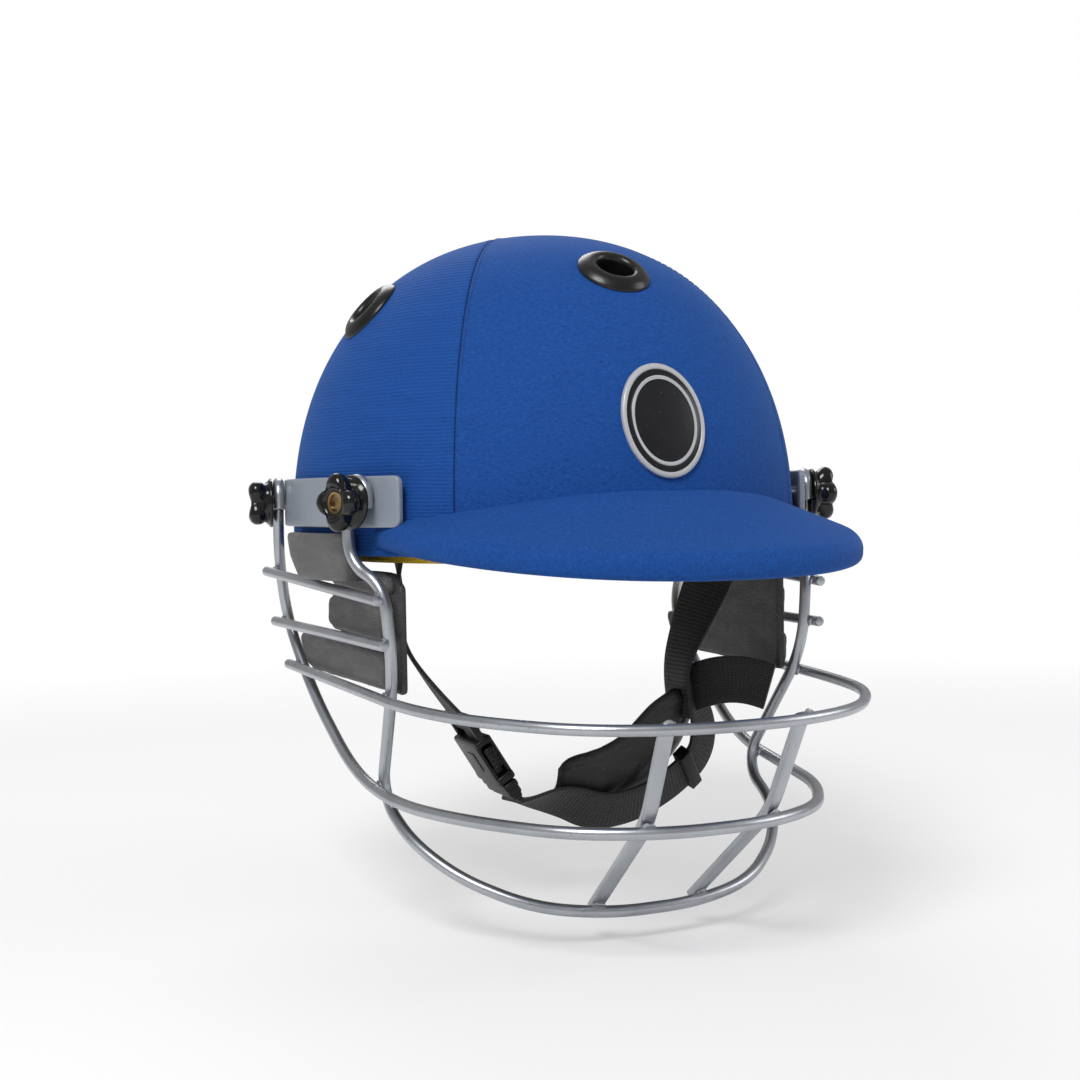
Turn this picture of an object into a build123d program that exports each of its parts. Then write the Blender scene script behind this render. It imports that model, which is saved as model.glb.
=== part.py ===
import os
from math import cos, hypot, pi, radians, sin, sqrt, tan

from build123d import *

os.makedirs("parts", exist_ok=True)

# Frame: the wearer faces -Y, the wearer's left is +X, and Z = 0 is the lower edge of the shell.

# Dome, measured on the outside of its cloth
dome_half_width = 103.5
dome_half_length = 118.5
dome_top = 130.5
dome_wide_height = 8.5
dome_fullness = 2.2
dome_sections = 10
dome_stretch = dome_half_length / dome_half_width
cloth = 1.0
shell_wall = 3.2
liner_wall = 13.0
liner_edge = 2.0
lining_wall = 1.2
lining_drop = 4.5
lining_height = 46.0
hem_width = 7.0
layer_gap = 0.15
cloth_gap = 0.1
overrun = 20.0

# Seams of the front panel meet over the crown
seam_apex_y = 24.0
seam_foot_x = 72.0
seam_foot_y = -84.0
seam_gap = 0.4

# Peak
peak_half_width = 93.0
peak_root_y = -46.0
peak_length = 128.0
peak_squareness = 2.28
peak_edge_drop = 0.5
peak_thickness = 10.5
peak_edge_round = 4.2
peak_tilt = 5.0
peak_crown_rise = 18.5
peak_crown_share = 0.5

# Vent eyelets
eyelet_radius = 16.0
eyelet_bore = 7.8
eyelet_barrel = 9.4
eyelet_rise = 3.2
eyelet_sink = 4.0
eyelet_fit = 0.2
eyelet_tail = 12.0
eyelet_front_y = -75.0
eyelet_side_x = 75.0
eyelet_profile_shares = [(1.0, 0.1), (0.9, 0.62), (0.66, 1.0), (0.54, 0.85), (0.4875, 0.4)]

# Badge
badge_half_width = 17.0
badge_half_height = 21.5
badge_height = 48.0
badge_wall = 0.8
badge_rim_width = 1.8
badge_rim_rise = 0.5

# Comfort pads
pad_wall = 9.0
pad_corner = 5.0
pad_low = 6.0
pad_high = 42.0
pad_half_angle = 38.0
pad_lobes = 3
pad_channel_width = 2.4
pad_channel_depth = 5.0
crown_pad_radius = 42.0
crown_pad_hole = 10.0

# Side plates
plate_stand = 0.5
plate_flatness = 8.0
plate_wall = 2.5
plate_clearance = 0.3
plate_bottom = 10.0
plate_height = 19.5
plate_front_y = -71.0
plate_rear_y = 54.0
plate_corner = 3.0

# Bolts and knobs
bolt_radius = 3.0
bolt_hole_fit = 0.25
bolt_head_radius = 6.0
bolt_head_height = 2.2
bolt_seat = 0.85
bolt_front_y = -53.0
bolt_rear_y = 36.0
knob_lift = 0.3
knob_radius = 10.4
knob_skirt_top_radius = 8.4
knob_skirt_height = 4.2
knob_height = 10.0
knob_lobe_radius = 3.9
knob_lobe_reach = 11.2
knob_lobe_bevel = 1.0
knob_hub_radius = 6.8
knob_recess = 2.0
knob_lobes = 4
insert_radius = 4.3
insert_fit = 0.05
insert_seat = 0.05
bolt_end_recess = 1.2
knob_turn = 45.0

# Grille wires
upright_wire = 4.6
bar_wire = 4.2
hook_play = 0.6
hook_travel = 2.5
hook_leg_drop = 9.0
hook_clearance = 0.3
weld_gap = 0.12
grille_half_width = 100.0
grille_reach = 168.0
grille_drop = 136.0
rod_overhang = 6.0
upper_bar_straight = 26.0
strut_width = 5.4
strut_depth = 3.6
strut_corner = 1.6
strut_bend_radius = 22.0
strut_middle_trim = 0.88
strut_overhang = 5.0
strut_half_spread_top = 27.4
strut_half_spread_middle = 26.0
strut_half_spread_foot = 21.5

# Ear pads
ear_backing_wall = 3.0
ear_block_wall = 4.0
ear_block_gap = 0.2
ear_front_x = 85.5
ear_front_y = -61.0
ear_splay = 2.5
ear_length = 112.0
ear_depth = 54.0
ear_corner = 2.2
ear_shell_clearance = 1.3
ear_edge_drop = 7.8
ear_lap_reach = 24.0
ear_lap_wall = 4.5
ear_lap_drop = 10.2
ear_lap_gap = 2.8
ear_rod_clearance = 0.2
ear_wire_clearance = 0.15

# Chin strap
strap_y = -28.0
strap_width = 20.0
strap_thickness = 1.8
strap_anchor_height = 12.0
strap_anchor_x = 74.5
strap_anchor_run = 14.0
strap_span = 80.0
strap_drop = 75.0
strap_side_gap = 0.2
tail_height = 20.0
rivet_radius = 2.0
rivet_head_radius = 4.8
rivet_head_height = 1.4
rivet_spacer_radius = 4.2
rivet_fit = 0.1
buckle_length = 27.0
buckle_width = 25.0
buckle_thickness = 8.0
buckle_wall = 1.6
buckle_edge_round = 1.4
buckle_slot_depth = 2.0
buckle_slot_fit = 0.1
buckle_gap = 0.3
tongue_length = 10.0
tongue_thickness = 6.4
tongue_guide_width = 6.0
tongue_guide_gap = 3.0
button_length = 9.2
button_start = 10.0
button_window_gap = 0.4
button_reach = 7.0
button_proud = 0.8
button_arm_width = 2.4
button_round = 0.8
cup_width = 36.0
cup_thickness = 5.0
cup_hollow = 4.0
keeper_wall = 1.5
keeper_length = 6.0
keeper_gap = 0.4


# Shapes shared by several pieces

def dome(grow, bottom):
    """Solid dome, its outside grown by a distance, cut flat at the bottom height."""
    width = dome_half_width + grow
    rise = dome_top + grow - dome_wide_height
    power = 2 / dome_fullness
    sections = [Pos(0, 0, -overrun) * Ellipse(width, width * dome_stretch)]
    for step in range(dome_sections):
        turn = pi / 2 * step / dome_sections
        height = dome_wide_height + rise * sin(turn) ** power
        half = width * cos(turn) ** power
        sections.append(Pos(0, 0, height) * Ellipse(half, half * dome_stretch))
    body = loft([section.face() for section in sections] + [Vertex(0, 0, dome_top + grow)])
    return body & slab(bottom, dome_top + overrun) if bottom > -overrun else body


def dome_layer(outside, inside, bottom):
    """Even layer of the dome between two distances from the cloth's outside."""
    return dome(outside, bottom) - dome(inside, -overrun)


def dome_scale(height, grow=0):
    """How far the section at a height has drawn in from the widest one."""
    rise = dome_top + grow - dome_wide_height
    lift = max(height - dome_wide_height, 0) / rise
    return (1 - lift ** dome_fullness) ** (1 / dome_fullness)


def dome_height(x, y, grow=0):
    """Height of the dome's outside over a point."""
    reach = hypot(x, y / dome_stretch) / (dome_half_width + grow)
    lift = (1 - reach ** dome_fullness) ** (1 / dome_fullness)
    return dome_wide_height + (dome_top + grow - dome_wide_height) * lift


def dome_plane(x, y, grow=0):
    """Plane on the dome over a point, its Z axis pointing out."""
    z = dome_height(x, y, grow)
    half_x = dome_half_width + grow
    half_y = half_x * dome_stretch
    rise = dome_top + grow - dome_wide_height
    reach = hypot(x / half_x, y / half_y)
    spread = reach ** (dome_fullness - 2)
    lift = ((z - dome_wide_height) / rise) ** (dome_fullness - 1)
    normal = Vector(spread * x / half_x**2, spread * y / half_y**2, lift / rise)
    return Plane(origin=(x, y, z), z_dir=normal.normalized())


def slab(low, high):
    """Everything between two heights."""
    size = 2 * (dome_half_length + grille_reach)
    box = Box(size, size, high - low, align=(Align.CENTER, Align.CENTER, Align.MIN))
    return Pos(0, 0, low) * box


def mirrored(shape):
    """The same piece on the other side of the wearer."""
    return mirror(shape, Plane.YZ)


def both_sides(shape):
    """A piece and its mirror image."""
    return Compound([shape, mirrored(shape)])


def save(name, shape):
    """Write one piece."""
    export_step(shape, f"parts/{name}.step")


def along_x(radius, start, end, y, z):
    """Round bar along X."""
    frame = Plane(origin=(start, y, z), z_dir=(1, 0, 0))
    return frame * Cylinder(radius, end - start, align=(Align.CENTER, Align.CENTER, Align.MIN))


# Side plates and the bolts that hold them

def plate_frame(y, out=0):
    """Plane on the right-hand (+X) plate's outer face at a place along it, Z pointing out."""
    half_x = dome_half_width + plate_stand + plate_wall
    half_y = dome_half_length + plate_flatness + plate_wall
    x = half_x * sqrt(1 - (y / half_y) ** 2)
    normal = Vector(x / half_x**2, y / half_y**2, 0).normalized()
    middle = plate_bottom + plate_height / 2
    origin = Vector(x, y, middle) + normal * out
    along = Vector(-normal.Y, normal.X, 0)
    return Plane(origin=origin, x_dir=along, z_dir=normal)


def side_plate():
    """Plate on the +X side: a strip bent round the dome, with rounded corners."""
    half_x = dome_half_width + plate_stand
    half_y = dome_half_length + plate_flatness
    ring = Ellipse(half_x + plate_wall, half_y + plate_wall) - Ellipse(half_x, half_y)
    band = Pos(0, 0, plate_bottom) * extrude(ring, plate_height)
    length = plate_rear_y - plate_front_y
    window = RectangleRounded(length, plate_height, plate_corner)
    middle = ((plate_rear_y + plate_front_y) / 2, plate_bottom + plate_height / 2)
    cutter = extrude(Plane.YZ * Pos(*middle) * window, dome_half_width + overrun)
    plate = band & cutter
    for y in (bolt_front_y, bolt_rear_y):
        plate -= plate_frame(y) * Cylinder(bolt_radius + bolt_hole_fit, overrun)
    return plate


def plate_room(gap):
    """Cutters that keep both plates clear of a layer."""
    half_x = dome_half_width + plate_stand - gap
    half_y = dome_half_length + plate_flatness - gap
    outer = plate_wall + overrun
    ring = Ellipse(half_x + outer, half_y + outer) - Ellipse(half_x, half_y)
    band = Pos(0, 0, plate_bottom - gap) * extrude(ring, plate_height + overrun)
    length = plate_rear_y - plate_front_y + 2 * gap
    window = Pos((plate_rear_y + plate_front_y) / 2, plate_bottom) * Rectangle(length, 2 * plate_height)
    cutter = band & extrude(Plane.YZ * window, dome_half_width + 2 * overrun)
    return [cutter, mirrored(cutter)]


def bolt_length(y):
    """From the plate's outer face to the bolt's end in the knob."""
    return hook_clearance + upright_wire + knob_lift + knob_height - knob_recess - bolt_end_recess


def bolt_inside(y):
    """Depth of the shell's inner face under the plate's outer face at a bolt."""
    frame = plate_frame(y)
    inner_x = dome_half_width - shell_inside - bolt_seat
    inner_y = inner_x * dome_stretch
    point = frame.origin
    direction = frame.z_dir
    depth = plate_wall
    for _ in range(40):
        spot = point - direction * depth
        reach = hypot(spot.X / inner_x, spot.Y / inner_y)
        depth += (reach - 1) * inner_x
    return depth


def bolt(y):
    """Bolt with its flat head against the inside of the shell."""
    inside = bolt_inside(y)
    frame = plate_frame(y, -inside)
    shank = Cylinder(bolt_radius, inside + bolt_length(y), align=(Align.CENTER, Align.CENTER, Align.MIN))
    head = Cylinder(bolt_head_radius, bolt_head_height, align=(Align.CENTER, Align.CENTER, Align.MAX))
    return frame * (shank + head)


def bolt_holes(grow=0):
    """Cutters for the bolts on both sides."""
    holes = [
        plate_frame(y) * Cylinder(bolt_radius + bolt_hole_fit + grow, 2 * overrun)
        for y in (bolt_front_y, bolt_rear_y)
    ]
    return holes + [mirrored(hole) for hole in holes]


def knob_frame(y):
    """Plane of the knob's foot, above the wire hook."""
    return plate_frame(y, hook_clearance + upright_wire + knob_lift)


def knob(y, turn):
    """Star knob: a tapered skirt, rounded lobes and a hub with a recess."""
    low = (Align.CENTER, Align.CENTER, Align.MIN)
    skirt = Cone(knob_radius, knob_skirt_top_radius, knob_skirt_height, align=low)
    lobe = Cylinder(knob_lobe_radius, knob_height, align=low)
    lobe = chamfer(lobe.edges().sort_by(Axis.Z)[-1], knob_lobe_bevel)
    spots = PolarLocations(knob_lobe_reach - knob_lobe_radius, knob_lobes)
    hub = Cylinder(knob_hub_radius, knob_height - knob_recess, align=low)
    body = skirt + hub
    for spot in spots:
        body += spot * lobe
    body -= Cylinder(insert_radius, 2 * overrun)
    return knob_frame(y) * Rot(0, 0, turn) * body


def knob_insert(y):
    """Brass insert with the running bore on the bolt."""
    low = (Align.CENTER, Align.CENTER, Align.MIN)
    body = Cylinder(insert_radius - insert_seat, knob_height - knob_recess, align=low)
    body -= Cylinder(bolt_radius + insert_fit, 2 * overrun)
    return knob_frame(y) * body


# Peak

def peak_outline(inset, share=1.0):
    """Front half of the peak's outline, closed across the head."""
    half = (peak_half_width - inset) * share
    reach = (peak_length - inset) * share
    power = 2 / peak_squareness
    turns = [pi * k / 16 for k in range(17)]
    points = []
    for t in turns:
        side = 1 if cos(t) >= 0 else -1
        x = half * side * abs(cos(t)) ** power
        y = peak_root_y - reach * abs(sin(t)) ** power
        points.append((x, y))
    curve = Spline(points, tangents=[(0, -1), (0, 1)])
    return make_face([curve, Line(points[-1], points[0])])


def peak_cone(inset, drop):
    """Solid under the peak's sloping top, down to its edge plane."""
    tip_y = peak_root_y - peak_length
    tilt = Pos(0, tip_y, 0) * Rot(peak_tilt, 0, 0) * Pos(0, -tip_y, 0)
    low = Pos(0, 0, peak_edge_drop - drop) * peak_outline(inset)
    high = Pos(0, 0, peak_edge_drop - drop + peak_crown_rise) * peak_outline(inset, peak_crown_share)
    return tilt * loft([low, high])


def peak_body(inset):
    """Peak of an even thickness with a rounded edge, still whole inside the dome."""
    tip_y = peak_root_y - peak_length
    tilt = Pos(0, tip_y, 0) * Rot(peak_tilt, 0, 0) * Pos(0, -tip_y, 0)
    depth = peak_thickness - 2 * inset
    base = Pos(0, 0, peak_edge_drop - inset - depth) * peak_outline(inset)
    body = tilt * extrude(base, depth) + peak_cone(inset, inset)
    body -= peak_cone(inset, inset + depth)
    rims = [edge for edge in body.edges() if edge.length > 2 * peak_length]
    return fillet(rims, peak_edge_round - inset)


# Grille wires, given as shares of the grille's half width, reach forward and drop

wire_front_shares = [
    (1.016, -0.288, -0.022),
    (0.932, -0.384, -0.088),
    (0.906, -0.388, -0.330),
    (0.835, -0.170, -0.715),
    (0.810, -0.330, -0.815),
    (0.690, -0.440, -0.900),
    (0.470, -0.548, -0.972),
    (0.180, -0.590, -1.000),
]
wire_rear_shares = [
    (1.020, 0.290, -0.030),
    (0.962, 0.345, -0.230),
    (0.935, 0.175, -0.455),
    (0.901, -0.080, -0.655),
    (0.879, -0.330, -0.702),
    (0.760, -0.575, -0.706),
    (0.520, -0.795, -0.710),
    (0.200, -0.890, -0.712),
]
bar_upper_shares = [
    (0.820, -0.735, -0.415),
    (0.560, -0.925, -0.424),
    (0.210, -1.005, -0.428),
]
bar_upper_front_height_share = -0.393
bar_upper_rear_height_share = -0.364
rod_high_front_height_share = -0.114
rod_high_rear_height_share = -0.066
rod_low_front_height_share = -0.240
rod_low_rear_height_share = -0.226
bend_share = 0.47
path_steps = 2000
middle_share = 0.5


def spread(shares):
    """Turn shares into a point of the grille."""
    x, y, z = shares
    return Vector(x * grille_half_width, y * grille_reach, z * grille_drop)


def flipped(point):
    """The same point on the other side."""
    return Vector(-point.X, point.Y, point.Z)


def bent(points):
    """Path of straight runs, each corner bent as wide as its runs allow."""
    radii = []
    for before, corner, after in zip(points, points[1:], points[2:]):
        inward = corner - before
        outward = after - corner
        half_turn = radians(inward.get_angle(outward)) / 2
        radii.append(bend_share * min(inward.length, outward.length) / tan(half_turn))
    return FilletPolyline(*points, radius=radii)


def round_wire(path, thickness):
    """Round wire along a path."""
    section = Plane(origin=path @ 0, z_dir=path % 0) * Circle(thickness / 2)
    return sweep(section, path=path)


def hook_points(y):
    """Hairpin round a bolt: foot of the free leg, its top, the crest and the top of the held leg."""
    frame = plate_frame(y, hook_clearance + upright_wire / 2)
    reach = bolt_radius + hook_play + upright_wire / 2
    along = frame.x_dir
    top = frame.origin + Vector(0, 0, hook_travel)
    free = top - along * reach
    return [free - Vector(0, 0, hook_leg_drop), free, top + Vector(0, 0, reach), top + along * reach]


def long_path(y, shares):
    """Path from the held leg of one hook round the front to the other side."""
    run = [hook_points(y)[3]] + [spread(share) for share in shares]
    return bent(run + [flipped(point) for point in reversed(run)])


def hooked_wire(y, path):
    """Wire with a hairpin at both ends."""
    foot, free, crest, held = hook_points(y)
    pin = Wire([Line(foot, free).edge(), ThreePointArc(free, crest, held).edge()])
    pin = round_wire(pin, upright_wire)
    return round_wire(path, upright_wire) + pin + mirrored(pin)


def at_height(path, height):
    """Share of a path, on its +X side, at which it first comes down to a height."""
    for step in range(path_steps):
        share = step / (2 * path_steps)
        if (path @ share).Z <= height:
            return share
    return middle_share


def at_side(path, x):
    """Share of a path, coming from the +X side, at which it last lies beyond a distance."""
    found = 0
    for step in range(path_steps):
        share = step / (2 * path_steps)
        if (path @ share).X > x:
            found = share
    return found


def beside(path, height_share):
    """Centre of a bar that is welded outside an upright wire at a height."""
    share = at_height(path, height_share * grille_drop)
    out = (path % share).cross(Vector(0, 1, 0)).normalized()
    side = 1 if out.X > 0 else -1
    return path @ share + out * (side * ((upright_wire + bar_wire) / 2 + weld_gap))


def side_rod(front, rear, thickness=bar_wire):
    """Straight side bar over both upright wires."""
    along = (rear - front).normalized()
    path = Line(front - along * rod_overhang, rear + along * rod_overhang)
    return round_wire(path, thickness)


def upper_bar_path(front, rear):
    """Path of the upper bar: along the side past both uprights, then round the front."""
    along = (front - rear).normalized()
    start = rear - along * rod_overhang
    turn = front + along * upper_bar_straight
    run = [start, turn] + [spread(share) for share in bar_upper_shares]
    return bent(run + [flipped(point) for point in reversed(run)])


def strut(upper, lower, chin):
    """Flat strut on the outside of the three front bars, bent at the middle one."""
    shares = [
        at_side(upper, strut_half_spread_top),
        at_side(lower, strut_half_spread_middle),
        at_side(chin, strut_half_spread_foot),
    ]
    paths = [upper, lower, chin]
    spots = [path @ share for path, share in zip(paths, shares)]
    across = Vector(0, 0, 0)
    for path, share in zip(paths, shares):
        across += path % share
    rods = [bar_wire, upright_wire, upright_wire]
    drops = [spots[1] - spots[0], spots[2] - spots[1]]
    faces = [drop.cross(across).normalized() for drop in drops]
    middle = (faces[0] + faces[1]).normalized()
    outs = [faces[0], middle, faces[1]]
    half_turn = radians(drops[0].get_angle(drops[1])) / 2
    seat = [rod / 2 + strut_depth / 2 + weld_gap for rod in rods]
    seat[1] += strut_bend_radius * (1 / cos(half_turn) - 1) - strut_middle_trim
    points = [spot + out * gap for spot, out, gap in zip(spots, outs, seat)]
    top = points[0] - drops[0].normalized() * (bar_wire / 2)
    foot = points[2] + drops[1].normalized() * strut_overhang
    path = FilletPolyline(top, points[1], foot, radius=strut_bend_radius)
    section = Plane(origin=path @ 0, x_dir=across, z_dir=path % 0)
    return sweep(section * RectangleRounded(strut_width, strut_depth, strut_corner), path=path)


# Ear pads

ear_backing_shares = [
    (0.01, -1.00),
    (0.90, -0.95),
    (0.98, -0.66),
    (0.60, -0.66),
    (0.60, -0.40),
    (0.60, -0.28),
    (0.60, -0.14),
    (0.10, -0.14),
    (0.01, -0.24),
]
ear_upper_shares = [
    (0.56, -0.14),
    (0.14, -0.14),
    (0.06, -0.18),
    (0.05, -0.28),
    (0.17, -0.30),
    (0.55, -0.26),
    (0.62, -0.20),
]
ear_lap_shares = [
    (0.68, 0.30),
    (0.15, 0.30),
    (0.15, -0.19),
    (0.50, -0.19),
    (0.60, -0.04),
]
ear_middle_shares = [
    (0.07, -0.36),
    (0.56, -0.33),
    (0.61, -0.38),
    (0.62, -0.54),
    (0.57, -0.59),
    (0.08, -0.63),
]
ear_lower_shares = [
    (0.06, -0.73),
    (0.90, -0.67),
    (0.96, -0.70),
    (0.88, -0.89),
    (0.81, -0.94),
    (0.07, -0.96),
]


def ear_outline(shares):
    """Closed outline in the ear pad's own plane."""
    points = [(u * ear_length, v * ear_depth) for u, v in shares]
    return make_face(Polyline(*points, close=True))


def ear_plane():
    """Plane of the backing's outer face: X towards the back, Y up, Z out."""
    along = Vector(sin(radians(ear_splay)), cos(radians(ear_splay)), 0)
    out = Vector(along.Y, -along.X, 0)
    return Plane(origin=(ear_front_x, ear_front_y, 0), x_dir=along, z_dir=out)


def ear_block(shares, low, high):
    """Block of the ear pad between two distances from its plane."""
    base = Plane(ear_plane().origin + ear_plane().z_dir * low, ear_plane().x_dir, ear_plane().z_dir)
    face = fillet(ear_outline(shares).vertices(), ear_corner)
    return extrude(base * face, high - low)


def ear_upper_block(rod):
    """Upper block: it laps outside the shell's edge and gives way to the side bar."""
    inner = ear_block(ear_upper_shares, ear_block_gap, ear_block_wall)
    lap = ear_block(ear_lap_shares, ear_block_gap, ear_lap_reach)
    lap &= slab(-ear_lap_drop, plate_bottom - ear_lap_gap)
    lap &= dome(ear_shell_clearance + ear_lap_wall, -overrun)
    block = inner + lap
    block -= dome(ear_shell_clearance, -ear_edge_drop)
    return block - rod


# Depths below the cloth's outside at which the layers of the helmet meet
shell_inside = cloth + shell_wall
liner_outside = shell_inside + layer_gap
liner_inside = liner_outside + liner_wall
lining_inside = liner_inside + layer_gap + lining_wall


def wedge(gap=0):
    """Everything between the two seams of the front panel."""
    run = Vector(seam_foot_x, seam_foot_y - seam_apex_y)
    far = Vector(0, seam_apex_y) + run * (2 * grille_reach / run.length)
    shift = gap * run.length / seam_foot_x
    points = [(0, seam_apex_y + shift), (far.X, far.Y + shift), (-far.X, far.Y + shift)]
    face = make_face(Polyline(*points, close=True))
    return Pos(0, 0, -overrun) * extrude(face, dome_top + 2 * overrun)


def vent_frames():
    """Planes on the dome at the four vents: front, rear, left, right."""
    return {
        "front": dome_plane(0, eyelet_front_y),
        "rear": dome_plane(0, -eyelet_front_y),
        "left": dome_plane(eyelet_side_x, 0),
        "right": dome_plane(-eyelet_side_x, 0),
    }


def vent_holes(radius):
    """Cutters for the vents."""
    depth = 2 * (liner_inside + overrun)
    return [frame * Cylinder(radius, depth) for frame in vent_frames().values()]


def eyelet(frame):
    """Vent eyelet: a rounded flange lying on the dome and a barrel through the walls."""
    points = [(r * eyelet_radius, h * eyelet_rise) for r, h in eyelet_profile_shares]
    rim = Spline([Vector(r, 0, h) for r, h in points])
    corners = [
        Vector(points[-1][0], 0, points[-1][1]),
        Vector(points[-1][0], 0, -eyelet_sink),
        Vector(points[0][0], 0, -eyelet_sink),
        Vector(points[0][0], 0, points[0][1]),
    ]
    sides = [Line(a, b) for a, b in zip(corners, corners[1:])]
    flange = revolve(make_face([rim, *sides]), Axis.Z)
    flange = frame * flange - dome(layer_gap, -overrun)
    low = (Align.CENTER, Align.CENTER, Align.MAX)
    barrel = Cylinder(eyelet_barrel, eyelet_tail, align=low)
    return (flange + frame * barrel) - frame * Cylinder(eyelet_bore, 2 * overrun)


def shell(core):
    """Shell with the peak's core in one piece, with the holes for vents and bolts."""
    body = dome_layer(-cloth, -shell_inside, 0) + core
    for hole in vent_holes(eyelet_barrel + eyelet_fit) + bolt_holes():
        body -= hole
    return body


def covers(peak):
    """Cloth of the dome: front panel, rear panel and the hem round the edge."""
    skin = dome_layer(0, cloth_gap - cloth, -cloth_gap) - peak
    for hole in vent_holes(eyelet_barrel + eyelet_fit) + bolt_holes():
        skin -= hole
    panels = (skin & wedge()).solids().sort_by(Axis.Z)
    rear = (skin - wedge(seam_gap)) & slab(0, dome_top + overrun)
    hem = dome_layer(0, -hem_width, -cloth) & slab(-cloth, -cloth_gap)
    for strip in panels[:-1]:
        hem += strip
    return panels[-1], rear, hem


def liner():
    """Foam liner with pockets for the bolt heads."""
    body = dome_layer(-liner_outside, -liner_inside, 0)
    for hole in vent_holes(eyelet_barrel + eyelet_fit) + rivet_holes():
        body -= hole
    for y in (bolt_front_y, bolt_rear_y):
        depth = overrun + bolt_head_height + layer_gap
        pocket = Cylinder(bolt_head_radius + layer_gap, depth, align=(Align.CENTER, Align.CENTER, Align.MAX))
        pocket = plate_frame(y, overrun - bolt_inside(y)) * pocket
        body -= pocket
        body -= mirrored(pocket)
    return body


def rivet_holes():
    """Cutters for the strap rivets."""
    radius = rivet_radius + rivet_fit
    hole = along_x(radius, strap_anchor_x, dome_half_width - shell_inside, strap_y, strap_anchor_height)
    return [hole, mirrored(hole)]


def lining():
    """Lining skin inside the foam with a thick hem below it."""
    outside = -liner_inside - layer_gap
    skin = dome_layer(outside, -lining_inside, -lining_drop) & slab(-lining_drop, lining_height)
    ring = dome_layer(-hem_width - layer_gap, -lining_inside, -lining_drop)
    ring &= slab(-lining_drop, -layer_gap)
    body = skin + ring
    for hole in rivet_holes():
        body -= hole
    return body


def badge():
    """Plain oval badge on the front with a raised rim."""
    outer = extrude(Plane.XZ * Pos(0, badge_height) * Ellipse(badge_half_width, badge_half_height), 2 * dome_half_length)
    inner = extrude(
        Plane.XZ * Pos(0, badge_height) * Ellipse(badge_half_width - badge_rim_width, badge_half_height - badge_rim_width),
        2 * dome_half_length,
    )
    field = dome_layer(badge_wall, cloth_gap, -overrun) & outer
    rim = (dome_layer(badge_wall + badge_rim_rise, cloth_gap, -overrun) & outer) - inner
    return field + rim


def side_pad(turn):
    """Comfort pad against the lining at the brow or the nape, with channels between its lobes."""
    outside = -lining_inside - layer_gap
    body = dome_layer(outside, outside - pad_wall, -overrun) & slab(pad_low, pad_high)
    reach = 2 * dome_half_length
    side = reach * tan(radians(pad_half_angle))
    sector = make_face(Polyline((0, 0), (side, -reach), (-side, -reach), close=True))
    body &= Rot(0, 0, turn) * Pos(0, 0, -overrun) * extrude(sector, dome_top)
    depth = dome_half_length - lining_inside - pad_wall + pad_channel_depth
    for lobe in range(1, pad_lobes):
        angle = pad_half_angle * (2 * lobe / pad_lobes - 1)
        channel = Box(pad_channel_width, depth, dome_top, align=(Align.CENTER, Align.MAX, Align.CENTER))
        body -= Rot(0, 0, turn + angle) * channel
    return body


def crown_pad():
    """Round comfort pad under the crown."""
    outside = -liner_inside - layer_gap
    body = dome_layer(outside, outside - pad_wall, -overrun)
    body &= Pos(0, 0, dome_top / 2) * Cylinder(crown_pad_radius, dome_top)
    body -= Pos(0, 0, dome_top / 2) * Cylinder(crown_pad_hole, 2 * dome_top)
    return body


def rivet():
    """Rivet on the +X side with a spacer between the lining and the strap."""
    face = strap_anchor_x - strap_thickness / 2 - strap_side_gap
    back = strap_anchor_x + strap_thickness / 2 + strap_side_gap
    head = along_x(rivet_head_radius, face - rivet_head_height, face, strap_y, strap_anchor_height)
    shank = along_x(rivet_radius, face - rivet_head_height, dome_half_width, strap_y, strap_anchor_height)
    shank &= dome(-shell_inside - layer_gap, -overrun)
    spacer = along_x(rivet_spacer_radius, back, dome_half_width, strap_y, strap_anchor_height)
    spacer &= dome(-lining_inside - layer_gap, -overrun)
    return head + shank + spacer


# Chin strap: the hanging side of it lies in one plane across the helmet

strap_right_shares = [
    (-0.925, -0.493),
    (-0.763, -0.733),
    (-0.628, -0.906),
    (-0.587, -0.971),
]
chin_webbing_shares = [
    (-0.344, -1.384),
    (-0.050, -1.413),
    (0.150, -1.560),
    (0.400, -1.533),
    (0.625, -1.387),
    (0.775, -1.227),
    (0.800, -1.067),
    (0.725, -0.827),
    (0.695, -0.720),
]
chin_cup_shares = [
    (-0.100, -1.349),
    (0.125, -1.387),
    (0.375, -1.293),
    (0.600, -1.067),
    (0.712, -0.907),
]
strap_left_shares = [
    (0.812, -0.280),
    (0.715, -0.493),
    (0.625, -0.720),
    (0.655, -0.880),
]
strap_tail_shares = [
    (0.744, -0.130),
    (0.775, -0.212),
    (0.950, -0.425),
]
tail_height_share = -0.8
buckle_start_share = (-0.600, -0.950)
buckle_end_share = (-0.450, -1.203)
keeper_share = (0.700, -1.307)


def hanging(shares):
    """Points of the strap in its plane."""
    return [Vector(u * strap_span, strap_y, v * strap_drop) for u, v in shares]


def ribbon(path, width, thickness):
    """Flat band, its width along Y, along a path."""
    frame = Plane(origin=path @ 0, x_dir=(0, 1, 0), z_dir=path % 0)
    return sweep(frame * Rectangle(width, thickness), path=path)


def hung_strap(side, shares):
    """Band from a rivet down, with a round end and a hole at the rivet."""
    top = Vector(side * strap_anchor_x, strap_y, strap_anchor_height)
    bottom = top - Vector(0, 0, strap_anchor_run)
    body = ribbon(bent([top, bottom] + hanging(shares)), strap_width, strap_thickness)
    near = side * strap_anchor_x - strap_thickness / 2
    far = near + strap_thickness
    body += along_x(strap_width / 2, near, far, strap_y, strap_anchor_height)
    return body - along_x(rivet_radius + rivet_fit, near - overrun, far + overrun, strap_y, strap_anchor_height)


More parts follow.
